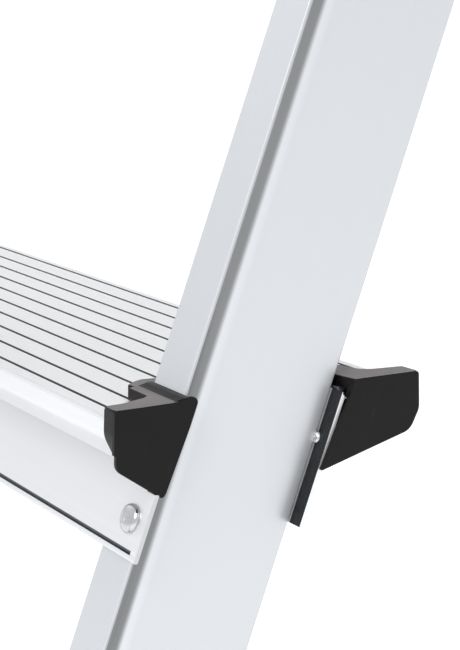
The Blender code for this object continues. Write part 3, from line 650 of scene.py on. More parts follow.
def make_treads():
    reach = HALF_WIDTH + TREAD_END
    slots = ("apron", "walking", "groove", "rear_face", "sawn")
    skin = prism("tread_skin", tread_profile(), -reach, reach, "X", *slots)
    cutters = []
    clear = 1.2 * GAP
    for side in (-1, 1):
        sloping = [apron(-clear, 0.02), apron(STILE_RUN + clear, 0.02)]
        sloping += [apron(STILE_RUN + clear, -0.08), apron(-clear, -0.08)]
        span = sorted((side * (HALF_WIDTH - STILE_WIDTH - GAP), side * (reach + 0.01)))
        cutters.append(prism("passage", sloping, *span, "X"))
        # The front apron's groove stops short of its end, and the top sheet ends under the caps
        rear = STILE_FRONT + STILE_RUN
        for inset, low, high in (
            (0.0026, (0.0, -0.0200), (0.0462, 0.01)),
            (0.0004, (0.0, -TREAD_TRIM), (STILE_FRONT + 0.004, 0.01)),
            (0.0020, (rear + 0.0010, -0.0022), (0.2, 0.01)),
            (0.0034, (rear + GAP + SHEET + 0.0004, -TREAD_TRIM - 0.001), (0.2, 0.01)),
            (-REAR_END, (0.1, -0.1), (0.2, 0.01)),
        ):
            span = sorted((side * (HALF_WIDTH - inset), side * (reach + 0.01)))
            cutters.append(block("trim", (span[0], *low), (span[1], *high)))
    boolean(skin, cutters, "DIFFERENCE")
    plugs = []
    for side in (-1, 1):
        span = sorted((side * (reach - 0.0038), side * reach))
        low = -APRON_DROP
        face = -GAP - SHEET
        plug = [apron(face, low + 0.0036), apron(face + 0.0015, low + 0.0036)]
        plug += [apron(face + 0.0015, low + 0.0014), apron(face, low + 0.0014)]
        plugs.append(prism("plug", plug, *span, "X"))
    boolean(skin, plugs, "UNION")

    def rule(centre, normal):
        if normal.z > 0.99 and centre.z > -0.0001:
            return 1
        # Faces inside the top grooves and the apron's bottom groove take the dark groove material: painted
        # shade
        in_groove = -0.0016 < centre.z < -0.00005 and FIRST_GROOVE - 0.002 < centre.y < NOSE_REAR - 0.003
        if in_groove and abs(normal.x) < 0.5:
            return 2
        behind_face = centre.y > apron(-GAP - SHEET, centre.z)[0] + 0.0002
        in_lip_groove = low_groove < centre.z < high_groove and behind_face
        if in_lip_groove and centre.y < STILE_FRONT and abs(normal.x) < 0.5:
            return 2
        at_end = abs(normal.x) > 0.9 and abs(centre.x) > HALF_WIDTH
        if at_end and centre.z < -0.02 and centre.y < STILE_FRONT + 0.03:
            return 4
        # The rear apron's front face takes the material with the painted dark reflection
        inside = abs(centre.y - apron(STILE_RUN + GAP, centre.z)[0]) < 0.0006
        if inside and centre.z < -SHEET and normal.y < -0.7:
            return 3
        return 0

    low_groove = -APRON_DROP + 0.0017
    high_groove = -APRON_DROP + 0.0035
    paint(skin, rule)
    smooth(skin, 40)
    for number in range(1, TREADS + 1):
        datum = tread_datum(number)
        piece = copy_of(skin, f"tread_{number}_skin", Matrix.Translation((0, datum.y, datum.z)))
        use(piece, "frame", "tread_aluminium", f"tread_{number}")
    bpy.data.objects.remove(skin, do_unlink=True)


# End caps, drawn for the right-hand side from the tread's datum


def front_cap():
    """An end plate beside the stile, a wall round the nose, and a top whose finger hooks round the stile."""
    border = CAP_OVERLAP
    outline = rounded(
        [
            (0.0500, CAP_TOP), (0.0400, CAP_TOP), (0.0399, -0.0108), (0.0407, -0.0112), (0.0406, -0.0160),
            (0.0582, -0.0280), apron(border - 0.0012, -0.0262), apron(border, -0.0040),
            apron(border, CAP_RIDGE), (STILE_FRONT, CAP_RIDGE), (0.0640, CAP_TOP + 0.0002),
        ],
        [0, 0.0010, 0.0003, 0.0003, 0.0042, 0.0012, 0.0014, 0, 0.0030, 0.0008, 0.0040],
        5,
    )
    plate = bevelled(prism("front_cap", outline, 0.0030, TREAD_END, "X", "black"), 0.0008, 3, 50)
    low = 0.0006
    inner = [(0.0440, low), (0.0660, low), apron(border - 0.0008, low), apron(border - 0.0008, -0.0230)]
    inner += [(0.0575, -0.0240), (0.0440, -0.0150)]
    pad = prism("pad", inner, GAP, 0.0032, "X", "black")
    front = STILE_FRONT - GAP
    side = -STILE_WIDTH - GAP
    plan = rounded(
        [
            (0.0042, 0.0400), (0.0042, front), (side, front + 0.0013), (side, 0.0745), (-0.0298, 0.0745),
            (-0.0304, 0.0690), (-0.0288, 0.0656), (-0.0254, 0.0612), (-0.0192, 0.0618), (-0.0116, 0.0618),
            (-0.0068, 0.0574), (-0.0032, 0.0466), (-0.0028, 0.0400),
        ],
        [0.0010, 0, 0, 0.0004, 0.0006, 0.004, 0.002, 0.0012, 0.004, 0.0014, 0.006, 0.004, 0.0012],
        4,
    )
    top = bevelled(prism("top", plan, GAP * 0.3, CAP_TOP, "Z", "black"), 0.0005, 2, 50)
    outer = rounded(
        [(0.0500, CAP_TOP - 0.0001), (0.0400, CAP_TOP - 0.0001), (0.0398, -0.0056), (0.0440, -0.0140)],
        [0, 0.0014, 0.0090, 0],
        6,
    )[1:]
    inside = [(0.0450, -0.0136), (0.0426, -0.0080), (0.0424, 0.0012), (0.0500, 0.0012)]
    wall = bevelled(prism("wall", outer + inside, -0.0028, 0.0042, "X", "black"), 0.0005, 2, 50)
    rise = [(0.0590, 0.0010), (0.0596, CAP_TOP - 0.0001)]
    for turn in range(1, 9):
        share = turn / 8
        rise.append((0.0596 + (front - 0.0596) * share, CAP_TOP + (CAP_RIDGE - CAP_TOP) * share**1.8))
    rise += [(front + SLOPE * CAP_RIDGE, CAP_RIDGE), (front + SLOPE * 0.001, 0.0010)]
    ridge = prism("ridge", rise, side, 0.0042, "X", "black")
    return smooth(boolean(plate, [pad, top, wall, ridge], "UNION"), 38)


def rear_cap():
    """An end plate behind the rear apron, with a top and a wall round the rear nose."""
    behind = STILE_RUN + 0.0030
    outline = rounded(
        [
            (0.1356, CAP_TOP), (0.1642, CAP_TOP), (0.1650, -0.0096), (0.1612, -0.0172), (0.1222, -0.0274),
            apron(behind - 0.0020, -0.0262), apron(behind, -0.0010),
        ],
        [0.0010, 0.0014, 0.0060, 0.0060, 0.0008, 0.0005, 0.0008],
        5,
    )
    plate = bevelled(prism("rear_cap", outline, 0.0020, TREAD_END, "X", "black"), 0.0008, 3, 50)
    inner = [apron(behind + 0.0004, -0.0015), (0.1600, -0.0015), (0.1600, -0.0150), (0.1260, -0.0250)]
    inner.append(apron(behind - 0.0014, -0.0250))
    pad = prism("pad", inner, -0.0030, 0.0022, "X", "black")
    plan = rounded(
        [
            (0.0042, 0.1354), (0.0042, 0.1642), (-0.0044, 0.1636), (-0.0060, 0.1500), (-0.0086, 0.1462),
            (-0.0166, 0.1446), (-0.0170, 0.1336), (-0.0050, 0.1338),
        ],
        [0.0010, 0.0010, 0.0014, 0.01, 0.006, 0.0005, 0, 0],
        4,
    )
    top = bevelled(prism("top", plan, GAP * 0.3, CAP_TOP, "Z", "black"), 0.0005, 2, 50)
    outer = rounded(
        [(0.1500, CAP_TOP - 0.0001), (0.1643, CAP_TOP - 0.0002), (0.1645, -0.0080), (0.1604, -0.0140)],
        [0, 0.0014, 0.0060, 0],
        5,
    )[1:]
    inside = [(0.1590, -0.0136), (0.1612, -0.0070), (0.1612, 0.0012), (0.1500, 0.0012)]
    wall = bevelled(prism("wall", outer + inside, -0.0044, 0.0042, "X", "black"), 0.0005, 2, 50)
    return smooth(boolean(plate, [pad, top, wall], "UNION"), 38)


def make_caps():
    for kind, shape in (("front", front_cap()), ("rear", rear_cap())):
        paint_light_on_cap_tops(shape)
        for number in range(1, TREADS + 1):
            datum = tread_datum(number)
            place = Matrix.Translation(datum)
            for side, turn in (("right", place), ("left", MIRROR @ place)):
                node = f"cap_{kind}_{number}_{side}"
                use(copy_of(shape, f"{node}_moulding", turn), "frame", "black_plastic", node)
        bpy.data.objects.remove(shape, do_unlink=True)


def paint_light_on_cap_tops(shape):
    """The level top of a cap has a coarser, duller grain than its walls, and is painted greyer: painted light
    on the top face.
    """
    shape.data.materials.append(MATERIALS["cap_top"])
    level = (CAP_TOP - 0.0012, CAP_TOP + 0.0006)
    paint(shape, lambda centre, normal: 1 if normal.z > 0.985 and level[0] < centre.z < level[1] else 0)


# Fasteners


def rivet_head(name, radius, height):
    """A domed head, a little flattened and dented where the tool closed it."""
    profile = [(0.0, height), (radius * 0.18, height * 0.99), (radius * 0.22, height * 0.93)]
    profile += [(radius * 0.30, height * 0.96)]
    for step in range(1, 9):
        angle = math.radians(90 * step / 8)
        profile.append((radius * (0.30 + 0.70 * math.sin(angle)), height * (0.12 + 0.84 * math.cos(angle))))
    profile += [(radius, 0.0), (0.0, 0.0)]
    head = turned(name, profile, "bolt", 40)
    for vertex in head.data.vertices:
        x, y, z = vertex.co
        if z > height * 0.3:
            dent = math.sin(x / radius * 2.9 + 0.6) * math.sin(y / radius * 2.3 - 0.4)
            vertex.co.z -= height * 0.05 * dent
    return smooth(head, 50)


def make_fasteners():
    toward_front = Matrix.Rotation(math.radians(90) - LEAN, 4, "X")
    front = rivet_head("front_head", 0.0052, 0.0024)
    rear = rivet_head("rear_head", 0.0023, 0.0014)
    for number in range(1, TREADS + 1):
        datum = tread_datum(number)
        y, z = apron(-GAP - SHEET - 0.0001, -0.0364)
        place = Matrix.Translation(datum + Vector((-0.0050, y, z))) @ toward_front
        y, z = apron(STILE_RUN + GAP, -0.0173)
        rear_place = Matrix.Translation(datum + Vector((-0.0029, y, z))) @ toward_front
        for side, flip in (("right", Matrix.Identity(4)), ("left", MIRROR)):
            bolt = copy_of(front, f"tread_{number}_bolt_{side}", flip @ place)
            use(bolt, "frame", "zinc_steel")
            rivet = copy_of(rear, f"tread_{number}_rivet_{side}", flip @ rear_place)
            use(rivet, "frame", "zinc_steel")
    bpy.data.objects.remove(front, do_unlink=True)
    bpy.data.objects.remove(rear, do_unlink=True)


# Stage, light and camera


def make_floor():
    floor = block("floor", (-60, -60, -0.02), (60, 60, 0.0))
    material, shader = new_material("pale_floor", (0.93, 0.93, 0.93), 0.7, 0.0)
    nodes = Nodes(material)
    patches = nodes.spread(nodes.noise(nodes.point, 3.0), 0, 1)
    tone = nodes.blend(patches, (0.93, 0.93, 0.93), (0.95, 0.95, 0.95))
    nodes.link(tone, shader.inputs["Base Color"])
    shader.inputs["Emission Color"].default_value = (1, 1, 1, 1)
    shader.inputs["Emission Strength"].default_value = 0.18
    floor.data.materials.append(material)


def make_world():
    """A white studio: bright above and behind, and a little greyer low down in front."""
    world = bpy.data.worlds.new("studio")
    bpy.context.scene.world = world
    world.use_nodes = True
    tree = world.node_tree
    background = tree.nodes["Background"]
    background.inputs["Strength"].default_value = 1.0
    coordinates = tree.nodes.new("ShaderNodeTexCoord")
    split = tree.nodes.new("ShaderNodeSeparateXYZ")
    tree.links.new(coordinates.outputs["Generated"], split.inputs["Vector"])
    ramp = tree.nodes.new("ShaderNodeValToRGB")
    ramp.color_ramp.elements[0].position = 0.15
    ramp.color_ramp.elements[0].color = (0.85, 0.86, 0.875, 1)
    ramp.color_ramp.elements[1].position = 0.55
    ramp.color_ramp.elements[1].color = (1.0, 1.0, 1.0, 1)
    to_unit = tree.nodes.new("ShaderNodeMapRange")
    to_unit.inputs["From Min"].default_value = -1.0
    to_unit.inputs["From Max"].default_value = 1.0
    tree.links.new(split.outputs["Y"], to_unit.inputs["Value"])
    tree.links.new(to_unit.outputs["Result"], ramp.inputs["Fac"])
    tree.links.new(ramp.outputs["Color"], background.inputs["Color"])


def make_light(name, position, target, size, power):
    light = bpy.data.lights.new(name, "AREA")
    light.shape = "RECTANGLE"
    light.size, light.size_y = size
    light.energy = power
    lamp = bpy.data.objects.new(name, light)
    lamp.location = position
    lamp.rotation_euler = (Vector(target) - Vector(position)).to_track_quat("-Z", "Y").to_euler()
    bpy.context.scene.collection.objects.link(lamp)


def make_camera(datum):
    yaw = math.radians(32.103)
    pitch = math.radians(11.673)
    roll = math.radians(1.017)
    view = Vector((-math.cos(yaw) * math.cos(pitch), math.sin(yaw) * math.cos(pitch), -math.sin(pitch)))
    level = view.cross(Vector((0, 0, 1))).normalized()
    upward = level.cross(view)
    right = level * math.cos(roll) + upward * math.sin(roll)
    up = upward * math.cos(roll) - level * math.sin(roll)
    data = bpy.data.cameras.new("camera")
    data.lens = 95.74
    data.clip_start = 0.02
    data.clip_end = 200
    camera = bpy.data.objects.new("camera", data)
    turn = Matrix((right, up, -view)).transposed().to_4x4()
    camera.matrix_world = Matrix.Translation(datum + Vector((0.48293, -0.21653, 0.14540))) @ turn
    bpy.context.scene.collection.objects.link(camera)
    bpy.context.scene.camera = camera


# Platform, guards and frame


def stile_face(height):
    """World y of the stiles' front face at a height."""
    datum = tread_datum(1)
    return datum.y + STILE_FRONT + (height - datum.z) * SLOPE


def deck_profile(front, back, low, top):
    """Section of the deck as (y, z): a grooved sheet on ribs, with a rounded and lined front edge."""
    outline = [(front + 0.0004, top - 0.0018), (front + 0.0010, top - 0.0006), (front + 0.0026, top)]
    middle = front + 0.0100
    half = 0.00065
    ease = 0.00015
    while middle < back - 0.006:
        near = middle - half
        far = middle + half
        outline += [(near - ease, top), (near, top - ease), (near + 0.0001, top - 0.0013)]
        outline += [(far - 0.0001, top - 0.0013), (far, top - ease), (far + ease, top)]
        middle += GROOVE_PITCH
    outline += [(back - 0.0008, top), (back, top - 0.0008)]
    sheet = 0.0025
    ribs = 6
    spacing = (back - front - sheet) / ribs
    for rib in range(ribs, -1, -1):
        near = front + rib * spacing
        far = near + sheet
        if rib < ribs:
            outline += [(far + 0.0012, top - sheet), (far, top - sheet - 0.0012)]
        outline += [(far, low + 0.0004), (far - 0.0004, low), (near + 0.0004, low), (near, low + 0.0004)]
        if rib:
            outline += [(near, top - sheet - 0.0012), (near - 0.0012, top - sheet)]
    for line in (low + 0.0040, top - 0.0110):
        outline += [(front, line), (front + 0.0007, line + 0.0004), (front + 0.0007, line + 0.0010),
                    (front, line + 0.0014)]
    return outline


def make_deck():
    low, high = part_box("platform_deck")
    loop = deck_profile(low.y, high.y, low.z, high.z)
    skin = prism("platform_deck_skin", loop, low.x, high.x, "X", "apron", "walking", "groove")
    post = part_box("guard_post_right")
    middle = (post[0].y + post[1].y) / 2
    room = (post[1].y - post[0].y) / 2 + GAP
    inner = high.x - 2 * room + GAP
    notches = []
    for side in (-1, 1):
        ends = sorted((side * inner, side * (high.x + 0.01)))
        corners = rounded(box_loop(ends[0], middle - room, ends[1], middle + room), 0.002, 3)
        notches.append(prism("notch", corners, low.z - 0.01, high.z + 0.01, "Z"))
    boolean(skin, notches, "DIFFERENCE")

    def rule(centre, normal):
        # Groove faces take the dark groove material: painted shade
        if high.z - 0.0020 < centre.z < high.z - 0.00005 and low.y + 0.005 < centre.y and abs(normal.x) < 0.5:
            return 2
        if normal.z > 0.7 and centre.z > high.z - 0.0020:
            return 1
        return 0

    paint(skin, rule)
    use(smooth(skin, 30), "frame", "tread_aluminium", "platform_deck")
    for side in (-1, 1):
        x = side * (high.x - 0.0165)
        for number in range(5):
            y = low.y + 0.115 + number * 0.115
            if abs(y - middle) < 0.03:
                y -= 0.035
            dome = rivet_head(f"deck_screw_{number}_{'right' if side > 0 else 'left'}", 0.0048, 0.0019)
            use(shift(dome, x, y, high.z - 0.0001), "frame", "zinc_steel")


def square_tube(name, node, along, material, plugs=(0.0, 0.0), wall=0.0020):
    """A rolled square tube in place of a node, with a moulded plug in each end that is given a thickness."""
    low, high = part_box(node)
    axis = "XYZ".index(along)
    others = [index for index in range(3) if index != axis]
    loop = rounded(box_loop(low[others[0]], low[others[1]], high[others[0]], high[others[1]]), 0.0030, 5)
    inner = [low[others[0]] + wall, low[others[1]] + wall, high[others[0]] - wall, high[others[1]] - wall]
    hole = rounded(box_loop(*inner), 0.0018, 3)
    start = low[axis] + plugs[0]
    end = high[axis] - plugs[1]
    skin = smooth(prism(name, loop, start, end, along, material, holes=[hole]), 40)
    use(skin, "frame", "aluminium", node)
    for index, (thickness, edge, inward) in enumerate(((plugs[0], low[axis], 1), (plugs[1], high[axis], -1))):
        if not thickness:
            continue
        face = sorted((edge, edge + inward * thickness))
        cap = bevelled(prism(f"{name}_plug_{index}", loop, face[0], face[1], along, "black"), 0.0011, 3)
        use(smooth(cap, 40), "frame", "aluminium")
        stem = sorted((edge + inward * thickness, edge + inward * (thickness + 0.014)))
        slack = 0.0004
        room = box_loop(inner[0] + slack, inner[1] + slack, inner[2] - slack, inner[3] - slack)
        root = prism(f"{name}_plug_stem_{index}", rounded(room, 0.0014, 2), *stem, along, "black")
        use(bevelled(root, 0.0006, 2), "frame", "aluminium")


def make_square_tubes():
    for side in ("right", "left"):
        square_tube(f"rear_leg_{side}_tube", f"rear_leg_{side}", "Z", "upright", (0.0, 0.0035))
        square_tube(f"base_rail_{side}_tube", f"base_rail_{side}", "Y", "lengthwise", (0.0035, 0.0035))
    square_tube("base_cross_bar_tube", "base_cross_bar", "X", "crosswise")


def make_beams():
    low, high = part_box("platform_beam_right")
    loop = rounded(box_loop(low.x, low.z, high.x, high.z), 0.0028, 5)
    hole = rounded(box_loop(low.x + 0.002, low.z + 0.002, high.x - 0.002, high.z - 0.002), 0.0016, 3)
    beam = prism("platform_beam_right_tube", loop, low.y - 0.05, high.y, "Y", "lengthwise", holes=[hole])
    wedge = prism(
        "wedge",
        [
            (low.y - 0.2, low.z - 0.1), (low.y - 0.1 * SLOPE, low.z - 0.1),
            (low.y + (high.z - low.z + 0.1) * SLOPE, high.z + 0.1), (low.y - 0.2, high.z + 0.1),
        ],
        low.x - 0.05,
        high.x + 0.05,
        "X",
    )
    boolean(beam, [wedge], "DIFFERENCE")
    use_both(smooth(beam, 40), "frame", "aluminium", "platform_beam")


def head_on(name, place, direction, radius=0.0058, height=0.0030, washer=0.0):
    """A domed bolt head on a face: placed at its foot, standing along a direction."""
    turn = Vector((0, 0, 1)).rotation_difference(Vector(direction)).to_matrix().to_4x4()
    there = Matrix.Translation(place)
    if washer:
        sheet = 0.0013
        bore = radius * 0.5
        ring = [(washer, 0.0), (washer, 0.0009), (washer - 0.0004, sheet), (bore, sheet), (bore, 0.0)]
        disc = move(smooth(turned(f"{name}_washer", ring, "zinc", 36), 40), there @ turn)
        use(disc, "frame", "zinc_steel")
        there = there @ turn @ Matrix.Translation((0, 0, sheet)) @ turn.inverted()
    use(move(rivet_head(name, radius, height), there @ turn), "frame", "zinc_steel")


def make_braces():
    low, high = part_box("rear_leg_right")
    middle = (low.x + high.x) / 2
    for name, direction, outward in (("rear_brace_a", 1, -1), ("rear_brace_b", -1, 1)):
        near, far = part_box(name)
        centre = (near + far) / 2
        end = 0.015
        rise = far.z - near.z - 2 * end
        run = 2 * middle
        angle = math.atan2(rise, run)
        half = math.hypot(rise, run) / 2 + 0.012
        loop = rounded(box_loop(-half, -end, half, end), 0.0149, 10)
        thickness = (far.y - near.y) / 2
        bar = bevelled(prism(f"{name}_bar", loop, -thickness, thickness, "Y", "crosswise"), 0.0006, 2)
        place = Matrix.Translation(centre) @ Matrix.Rotation(-direction * angle, 4, "Y")
        use(move(smooth(bar, 35), place), "frame", "aluminium", name)
        face = near.y if outward < 0 else far.y
        for side, label in ((-1, "left"), (1, "right")):
            place = (side * middle, face, centre.z + direction * side * rise / 2)
            head_on(f"{name}_bolt_{label}", place, (0, outward, 0), 0.0062, 0.0034, 0.0100)


def make_feet():
    """Corner plates that tie the stiles and the rear legs to the base rails."""
    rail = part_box("base_rail_right")
    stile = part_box("stile_right")
    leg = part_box("rear_leg_right")
    top = rail[1].z
    angle = [(-0.0172, 0), (-0.0002, 0), (-0.0002, 0.042)]
    angle += [(-0.0032, 0.042), (-0.0032, 0.0030), (-0.0172, 0.0030)]
    angle = [(stile[0].x + across, top + up) for across, up in angle]
    loop = rounded(angle, [0.0004, 0.0030, 0.0010, 0.0010, 0.0020, 0.0010], 3)
    start = stile_face(top) + 0.018
    plate = bevelled(prism("stile_foot_right", loop, start, start + 0.040, "Y", "zinc"), 0.0005, 2)
    use_both(smooth(plate, 35), "frame", "zinc_steel")
    gusset = box_loop(leg[0].y + 0.003, rail[0].z + 0.008, leg[1].y - 0.003, top + 0.060)
    face = rail[1].x + 0.0026
    sheet = prism("leg_foot_right", rounded(gusset, 0.006, 5), rail[1].x + 0.0001, face, "X", "zinc")
    use_both(smooth(bevelled(sheet, 0.0005, 2), 35), "frame", "zinc_steel")
    for side, label in ((1, "right"), (-1, "left")):
        inner = side * (stile[0].x - 0.0032)
        for number, up in enumerate((0.016, 0.032)):
            place = (inner, start + 0.020, top + up)
            head_on(f"stile_foot_{label}_bolt_{number}", place, (-side, 0, 0), 0.0046, 0.0026)
        middle = (leg[0].y + leg[1].y) / 2
        for number, z in enumerate((rail[0].z + 0.022, top - 0.010, top + 0.018, top + 0.044)):
            head_on(f"leg_foot_{label}_bolt_{number}", (side * face, middle, z), (side, 0, 0), 0.0050, 0.0024)


def collar(name, place, direction, outer, length=COLLAR_LENGTH, inner=COLLAR_BORE):
    """A moulded ring round a tube, eased at both ends."""
    ring = [(inner, 0.0), (outer - 0.0012, 0.0), (outer, 0.0012), (outer, length * 0.55)]
    ring += [(outer - 0.0018, length - 0.0006), (outer - 0.0026, length), (inner, length)]
    turn = Vector((0, 0, 1)).rotation_difference(Vector(direction)).to_matrix().to_4x4()
    piece = smooth(turned(name, ring, "black", 44), 40)
    use(move(piece, Matrix.Translation(place) @ turn), "frame", "black_plastic")


def make_rails():
    bite = 0.0002  # a collar stands this far off the post that the rail meets
    for level in ("top_rail", "knee_rail"):
        for label in ("right", "left"):
            name = f"{level}_{label}"
            low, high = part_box(name)
            x = (low.x + high.x) / 2
            z = (low.z + high.z) / 2
            tube = swept(f"{name}_tube", [(x, low.y, z), (x, high.y, z)], RAIL_RADIUS, "lengthwise", 40)
            use(tube, "frame", "aluminium", name)
            collar(f"{name}_front_collar", (x, low.y + bite, z), (0, 1, 0), 0.0188)
            collar(f"{name}_rear_collar", (x, high.y - bite, z), (0, -1, 0), 0.0188)
        name = f"{level}_rear"
        low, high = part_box(name)
        y = (low.y + high.y) / 2
        z = (low.z + high.z) / 2
        tube = swept(f"{name}_tube", [(low.x, y, z), (high.x, y, z)], RAIL_RADIUS, "crosswise", 40)
        use(tube, "frame", "aluminium", name)
        collar(f"{name}_collar_left", (low.x + bite, y, z), (1, 0, 0), 0.0188)
        collar(f"{name}_collar_right", (high.x - bite, y, z), (-1, 0, 0), 0.0188)


def make_posts():
    low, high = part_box("guard_post_right")
    y = (low.y + high.y) / 2
    radius = (high.y - low.y) / 2
    bar_low, bar_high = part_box("safety_bar")
    bar_z = (bar_low.z + bar_high.z) / 2
    bar_radius = (bar_high.z - bar_low.z) / 2
    x = high.x - radius
    deck_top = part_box("platform_deck")[1].z
    shoulder = high.z - POST_PLUG
    dome = [(0.0, POST_PLUG), (0.008, 0.0058), (0.014, 0.0048), (0.018, 0.0030), (0.0199, 0.0010)]
    dome += [(0.0199, 0.0), (0.0, 0.0)]
    for side, label in ((1, "right"), (-1, "left")):
        name = f"guard_post_{label}"
        ends = [(side * x, y, low.z), (side * x, y, shoulder)]
        use(swept(f"{name}_tube", ends, radius, "upright", 48), "frame", "aluminium", name)
        cap = smooth(turned(f"{name}_cap", dome, "black", 48), 50)
        use(shift(cap, side * x, y, shoulder), "frame", "black_plastic")
        foot = (side * x, y, deck_top + 0.0002)
        collar(f"{name}_base_ring", foot, (0, 0, 1), radius + 0.0052, 0.012, radius + 0.0001)
    root = x - 0.010
    slot = bar_radius + 0.001
    clevis = box_loop(-root, bar_z - 0.018, BAR_PIVOT + 0.014, bar_z + 0.016)
    catch = box_loop(0.216, bar_z - bar_radius - 0.005, root, bar_z + 0.0175)
    brackets = (("clevis", clevis, [0, 0.009, 0.009, 0]), ("catch", catch, [0.004, 0, 0, 0.010]))
    for label, outline, radii in brackets:
        loop = rounded(outline, radii, 6)
        for edge, near, far in (("front", -CHEEK_OUTER, -slot), ("rear", slot, CHEEK_OUTER)):
            cheek = prism(f"bar_{label}_{edge}_cheek", loop, y + near, y + far, "Y", "upright")
            use(smooth(bevelled(cheek, 0.0007, 2), 35), "frame", "aluminium")
    floor_top = bar_z - bar_radius - GAP
    reach = slot - 0.0002
    corner = (0.2165, y - reach, floor_top - 0.0047)
    floor = block("bar_catch_floor", corner, (root, y + reach, floor_top), "upright", edge=0.0005)
    use(smooth(floor, 35), "frame", "aluminium")
    ends = [(BAR_PIVOT, y - 0.0195, bar_z), (BAR_PIVOT, y + 0.0195, bar_z)]
    use(swept("bar_pivot_pin", ends, 0.0039, "zinc", 28), "frame", "zinc_steel")
    for label, way in (("front", -1), ("rear", 1)):
        face = (BAR_PIVOT, y + way * (CHEEK_OUTER + 0.0001), bar_z)
        head_on(f"bar_pivot_head_{label}", face, (0, way, 0), 0.0068, 0.0036)


def make_safety_bar():
    """A red tube with moulded ends and a ribbed grip in the middle."""
    low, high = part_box("safety_bar")
    y = (low.y + high.y) / 2
    z = (low.z + high.z) / 2
    radius = (high.z - low.z) / 2
    length = high.x - low.x
    ends = [(0.0, 0.0), (radius - 0.0030, 0.0), (radius - 0.0010, 0.0008), (radius, 0.0030), (radius, 0.0150),
            (radius - 0.0005, 0.0154)]
    profile = ends + [(reach, length - along) for reach, along in reversed(ends)]
    bar = turned("safety_bar_tube", profile, "red", 40)
    move(bar, Matrix.Translation((low.x, y, z)) @ Matrix.Rotation(math.radians(90), 4, "Y"))
    bore = swept("bore", [(low.x + 0.010, y - 0.05, z), (low.x + 0.010, y + 0.05, z)], 0.0045, "red", 28)
    boolean(bar, [bore], "DIFFERENCE")
    use(smooth(bar, 40), "safety_bar", "red_plastic", "safety_bar")
    sleeve = [(radius + 0.00005, -0.0620), (radius + 0.0016, -0.0620), (radius + 0.0024, -0.0608)]
    for rib in range(19):
        at = -0.0580 + rib * 0.0063
        sleeve += [(radius + 0.0024, at), (radius + 0.0015, at + 0.0008), (radius + 0.0015, at + 0.0018),
                   (radius + 0.0024, at + 0.0026)]
    sleeve += [(radius + 0.0024, 0.0608), (radius + 0.0016, 0.0620), (radius + 0.00005, 0.0620)]
    grip = smooth(turned("safety_bar_grip", sleeve, "black", 40), 40)
    move(grip, Matrix.Translation((0, y, z)) @ Matrix.Rotation(math.radians(90), 4, "Y"))
    use(grip, "safety_bar", "black_plastic")


def make_toe_board():
    low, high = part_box("toe_board")
    loop = [
        (low.y, low.z), (high.y, low.z), (high.y, high.z - 0.0020), (high.y - 0.0020, high.z),
        (low.y + 0.0020, high.z), (low.y, high.z - 0.0020),
    ]
    lines = []
    for height in (0.040, 0.044, 0.080, 0.084, 0.118):
        at = high.z - 0.130 + height
        lines += [(low.y, at + 0.0006), (low.y + 0.0006, at), (low.y, at - 0.0006)][::-1]
    board = prism("toe_board_plate", loop + lines[::-1], low.x, high.x, "X", "crosswise")
    use(smooth(board, 28), "frame", "aluminium", "toe_board")
    for side, label in ((1, "right"), (-1, "left")):
        edge = side * high.x
        ends = sorted((edge, edge - side * 0.0026))
        strap = block(f"toe_board_{label}_angle_side", (ends[0], low.y - 0.022, high.z - 0.104),
                      (ends[1], low.y - 0.0002, high.z - 0.016), "zinc", edge=0.0005)
        use(smooth(strap, 35), "frame", "zinc_steel")
        ends = sorted((edge - side * 0.0027, edge - side * 0.0220))
        strap = block(f"toe_board_{label}_angle_face", (ends[0], low.y - 0.0027, high.z - 0.104),
                      (ends[1], low.y - 0.0002, high.z - 0.016), "zinc", edge=0.0005)
        use(smooth(strap, 35), "frame", "zinc_steel")
        for number, drop in enumerate((0.034, 0.086)):
            place = (edge - side * 0.0130, low.y - 0.0027, high.z - drop)
            head_on(f"toe_board_{label}_screw_{number}", place, (0, -1, 0), 0.0042, 0.0022)


def bent_route(corners, radii, steps):
    """A line through corners, with each inner corner rounded."""
    route = [corners[0]]
    for before, corner, after, radius in zip(corners, corners[1:], corners[2:], radii):
        into = (corner - before).normalized()
        out = (after - corner).normalized()
        bend = into.angle(out)
        start = corner - into * radius * math.tan(bend / 2)
        side = (out - into * out.dot(into)).normalized()
        for step in range(steps + 1):
            angle = bend * step / steps
            route.append(start + radius * (into * math.sin(angle) + side * (1 - math.cos(angle))))
    return route + [corners[-1]]


def make_handrails():
    low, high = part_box("handrail_right")
    x = (low.x + high.x) / 2
    rail_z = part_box("top_rail_right")
    rail_z = (rail_z[0].z + rail_z[1].z) / 2
    foot_z = 0.580
    out = Vector((0, -math.cos(LEAN), math.sin(LEAN)))
    foot = Vector((x, stile_face(foot_z), foot_z))
    elbow = foot + out * 0.250
    corners = [
        foot + out * GAP,
        elbow,
        Vector((x, elbow.y + (rail_z - elbow.z) * SLOPE, rail_z)),
        Vector((x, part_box("guard_post_right")[0].y - GAP, rail_z)),
    ]
    tube = swept("handrail_right_tube", bent_route(corners, (0.070, 0.050), 22), 0.0149, "tube", 40)
    use_both(tube, "frame", "aluminium", "handrail")
    for side, label in ((1, "right"), (-1, "left")):
        flip = Vector((side, 1, 1))
        collar(f"handrail_{label}_foot_collar", (foot + out * 0.0004) * flip, out, 0.0186, 0.018)
        top = (corners[-1] - Vector((0, 0.0002, 0))) * flip
        collar(f"handrail_{label}_top_collar", top, (0, -1, 0), 0.0186)


# Castors, each drawn about its swivel axis at the origin


